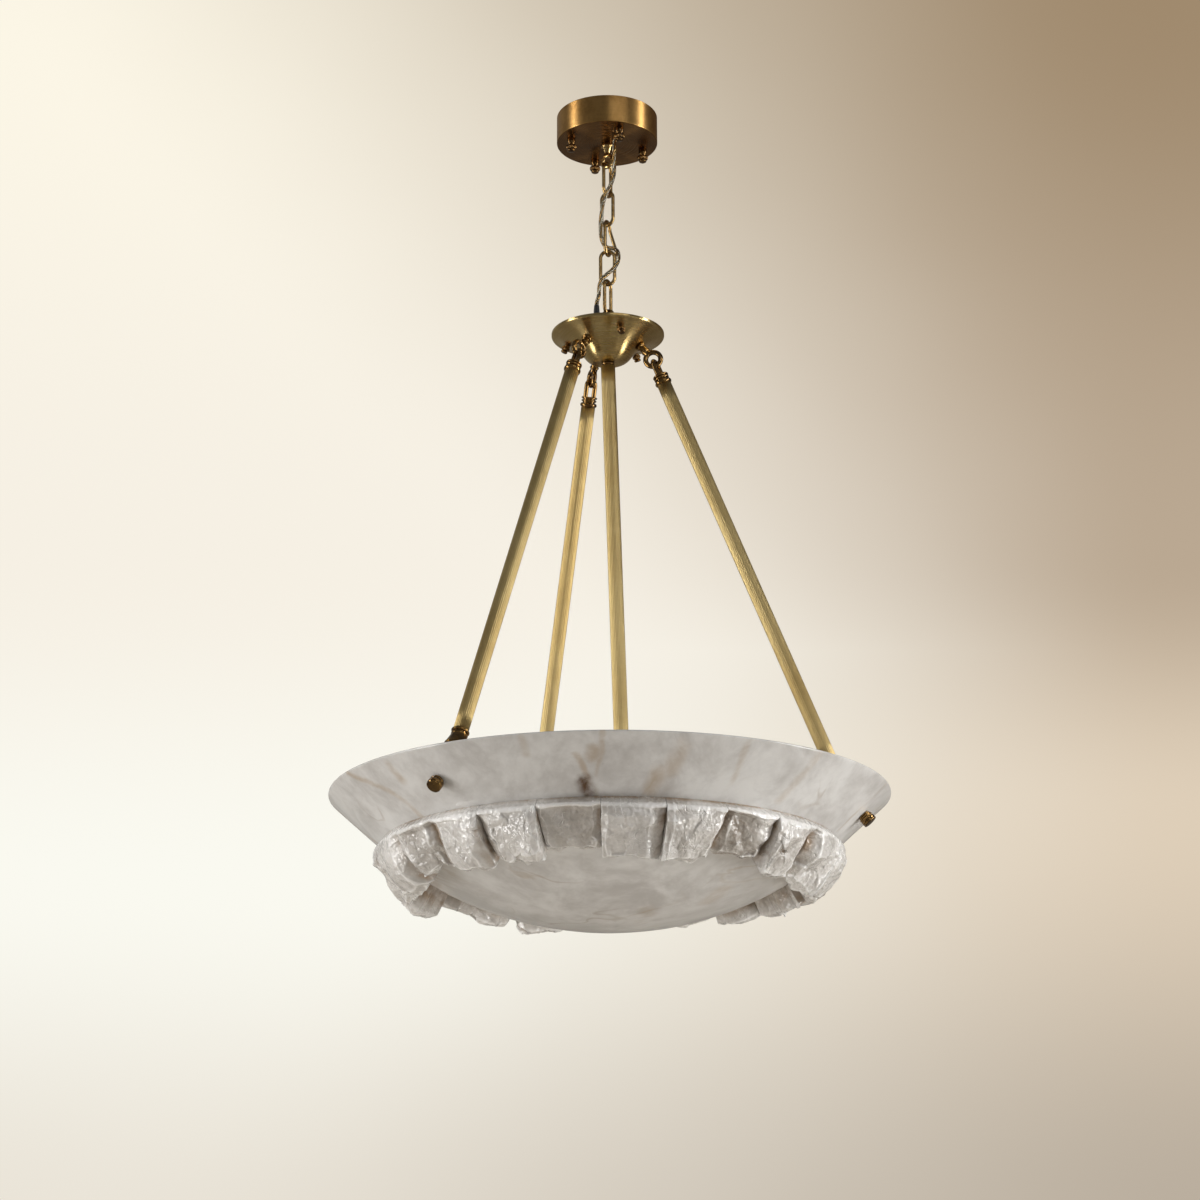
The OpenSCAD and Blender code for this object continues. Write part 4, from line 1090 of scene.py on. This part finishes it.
steel = moulded("plated_steel", (196, 196, 194), (166, 166, 166), 0.3, metallic=1.0)
rubber = moulded("black_rubber", (30, 29, 28), (18, 18, 18), 0.5, strength=0.15)
plastic = moulded("white_plastic", (236, 234, 228), (224, 221, 213), 0.34)
opal = moulded("opal_glass", (246, 244, 238), (238, 235, 228), 0.12, scale=60, strength=0.02,
               Subsurface_Weight=0.3, Subsurface_Scale=0.01)


links = [f"link_{k}" for k in range(1, 6)]
finishes = (
    (chain_brass, ["canopy_loop", *links, "hub_loop", "hub_cover", "lamp_cluster"]),
    (eye_brass, ["screw_eyes", "rod_eyes", "rod_feet", "stem_coupling"]),
    (steel, ["mounting_bracket", "bracket_studs"]), (plastic, ["terminal_block", "lamp_holders"]),
    (rubber, ["strain_relief", "gaskets"]), (opal, ["bulbs"]))
for material, names in finishes:
    for name in names:
        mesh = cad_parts[name].data
        mesh.materials.clear()
        mesh.materials.append(material)
print("CAD nodes with a finish:", sum(len(names) for material, names in finishes))

# %% [markdown]
# The cream, the tan and the paler zone are painted light and shade: the paler zone low down is a painted
# pool of light, and the tan at the top right is painted shade.
# The studio. The photograph's wall goes from cream on the left to tan at the top right, with
# a paler zone low down. It is one large sheet behind the lamp whose colour is mixed from two
# upright ramps, one for the left and one for the right. The camera sees that colour as it is
# written, and reflections in brass see it dimmed. For other light it is a plain pale wall.
# From behind it is clear, so that the lamp can be looked at from there too. The stage and
# the lights are large, so they are written in metres.
# %% Wall and floor
def flat_sheet(name, corners):
    """One four-sided face"""
    mesh = bpy.data.meshes.new(name)
    mesh.from_pydata(corners, [], [(0, 1, 2, 3)])
    obj = new_object(name, mesh)
    return obj


def ramp(tree, factor, stops):
    """Colour ramp from (position, colour) pairs"""
    node = add_node(tree, "ShaderNodeValToRGB", {"Fac": factor})
    elements = node.color_ramp.elements
    while len(elements) < len(stops):
        elements.new(0.5)
    for element, (position, colour) in zip(elements, stops):
        element.position, element.color = position, tone(*colour)
    node.color_ramp.interpolation = "EASE"
    return node.outputs[0]


side, wall_y, floor_z, top_z = 6.0, 2.6, -2.4, 4.0
wall = flat_sheet("studio_wall", [
    (-side, wall_y, floor_z), (side, wall_y, floor_z), (side, wall_y, top_z), (-side, wall_y, top_z)])
floor = flat_sheet("studio_floor", [
    (-side, -side, floor_z), (side, -side, floor_z), (side, wall_y, floor_z), (-side, wall_y, floor_z)])


def stage_paint(name):
    """Empty material for a stage sheet, with its node tree"""
    material = bpy.data.materials.new(name)
    material.use_nodes = True
    tree = material.node_tree
    tree.nodes.remove(tree.nodes["Principled BSDF"])
    return material, tree


def show_as(tree, colour, paint_colour):
    """The colour as written for what is looked at, dimmed in reflections, plain paint for other light"""
    path = add_node(tree, "ShaderNodeLightPath").outputs
    seen = calc(tree, "MAXIMUM", path["Is Camera Ray"],
                calc(tree, "MAXIMUM", path["Is Glossy Ray"], path["Is Transmission Ray"]))
    strength = minus(tree, 1.0, times(tree, path["Is Glossy Ray"], 0.7))
    glow = add_node(tree, "ShaderNodeEmission", {"Color": colour, "Strength": strength})
    paint = add_node(tree, "ShaderNodeBsdfDiffuse", {"Color": tone(*paint_colour)})
    front = add_node(tree, "ShaderNodeMixShader", {0: seen, 1: paint.outputs[0], 2: glow.outputs[0]})
    back = add_node(tree, "ShaderNodeNewGeometry").outputs["Backfacing"]
    clear = add_node(tree, "ShaderNodeBsdfTransparent")
    one_sided = add_node(tree, "ShaderNodeMixShader", {0: back, 1: front.outputs[0], 2: clear.outputs[0]})
    put(tree.nodes["Material Output"].inputs["Surface"], one_sided.outputs[0])


def paint_wall_light_and_shade():
    """Share of the right ramp = smooth step across, which begins later near the middle height; both ramps
    paint light and shade onto the wall
    """
    material, tree = stage_paint("studio_wall_painted_light_and_shade")
    place = add_node(tree, "ShaderNodeTexCoord").outputs["Object"]
    split = add_node(tree, "ShaderNodeSeparateXYZ", {0: place})
    drift = times(tree, minus(tree, noise(tree, place, 0.9, detail=2), 0.5), 0.3)
    upright = spread(tree, split.outputs["Z"], -1.05, 1.65, kind="LINEAR")
    # Painted light and shade: each ramp has a paler band low down, a painted pool of light, and the right
    # ramp darkens to tan towards the top, painted shade.
    left = ramp(tree, upright, [(0.0, (234, 228, 216)), (0.25, (250, 249, 240)),
                                (0.5, (246, 240, 228)), (1.0, (252, 246, 230))])
    right = ramp(tree, upright, [(0.0, (186, 174, 158)), (0.3, (222, 206, 184)),
                                 (0.5, (186, 168, 146)), (1.0, (160, 138, 110))])
    across = plus(tree, split.outputs["X"], drift)
    from_middle = calc(tree, "ABSOLUTE", minus(tree, split.outputs["Z"], 0.1))
    begin = minus(tree, -0.05, times(tree, from_middle, 0.95))
    share = spread(tree, across, begin, 1.25)
    show_as(tree, blend_colours(tree, share, left, right), (225, 218, 206))
    return material


def paint_floor():
    """Pale and a little cloudy"""
    material, tree = stage_paint("studio_floor_paint")
    soft = noise(tree, coordinates(tree, "Object"), 1.5, detail=2)
    show_as(tree, blend_colours(tree, soft, (228, 221, 210), (220, 212, 200)), (218, 210, 198))
    return material


wall.data.materials.append(paint_wall_light_and_shade())
floor.data.materials.append(paint_floor())
print("stage:", wall.name, "and", floor.name)

# %% [markdown]
# Two tall soft boxes stand left and right of the lamp, slightly in front. Brushed brass turns
# them into the upright bands of the canopy and the wedges of the hub. A wide soft box in front
# gives the stone its form, a small one from below lifts the underside a little, and a dim
# even world fills the shadows. The camera sees that world pale, reflections see it dimmer.
# %% Lights
def soft_box(name, azimuth, distance, height, size_x, size_y, watts, colour, aim=(0.0, 0.0, -0.62)):
    """Area light on a circle round the lamp that faces a point; azimuth from the front to the right"""
    data = bpy.data.lights.new(name, "AREA")
    data.shape = "RECTANGLE"
    data.size, data.size_y, data.energy, data.color = size_x, size_y, watts, colour
    light = new_object(name, data)
    a = math.radians(azimuth)
    position = np.array([distance * math.sin(a), -distance * math.cos(a), height])
    back = unit(position - np.array(aim))
    right = unit(np.cross((0.0, 0.0, 1.0), back))
    light.matrix_world = standing(right, np.cross(back, right), back, position)
    return light


soft_box("left_box", -77, 2.5, -0.8, 0.55, 3.0, 46, (1.0, 0.985, 0.965))
soft_box("right_box", 80, 2.5, -0.8, 0.45, 3.0, 56, (1.0, 0.995, 0.985))
soft_box("key_box", 24, 3.0, 0.7, 2.0, 1.0, 11, (1.0, 0.99, 0.98))
soft_box("low_box", 48, 2.8, -2.0, 1.0, 0.6, 3, (1.0, 0.99, 0.98))
world = bpy.data.worlds.new("studio_air")
bpy.context.scene.world = world
world.use_nodes = True
air = world.node_tree
sky = air.nodes["Background"].inputs
path = add_node(air, "ShaderNodeLightPath").outputs
dimmed = minus(air, 0.38, times(air, path["Is Glossy Ray"], 0.16))
put(sky["Color"], tone(212, 211, 210))
put(sky["Strength"], plus(air, dimmed, times(air, path["Is Camera Ray"], 0.6)))
bpy.context.scene.view_settings.view_transform = "Standard"
print("lights:", [light.name for light in bpy.data.lights])
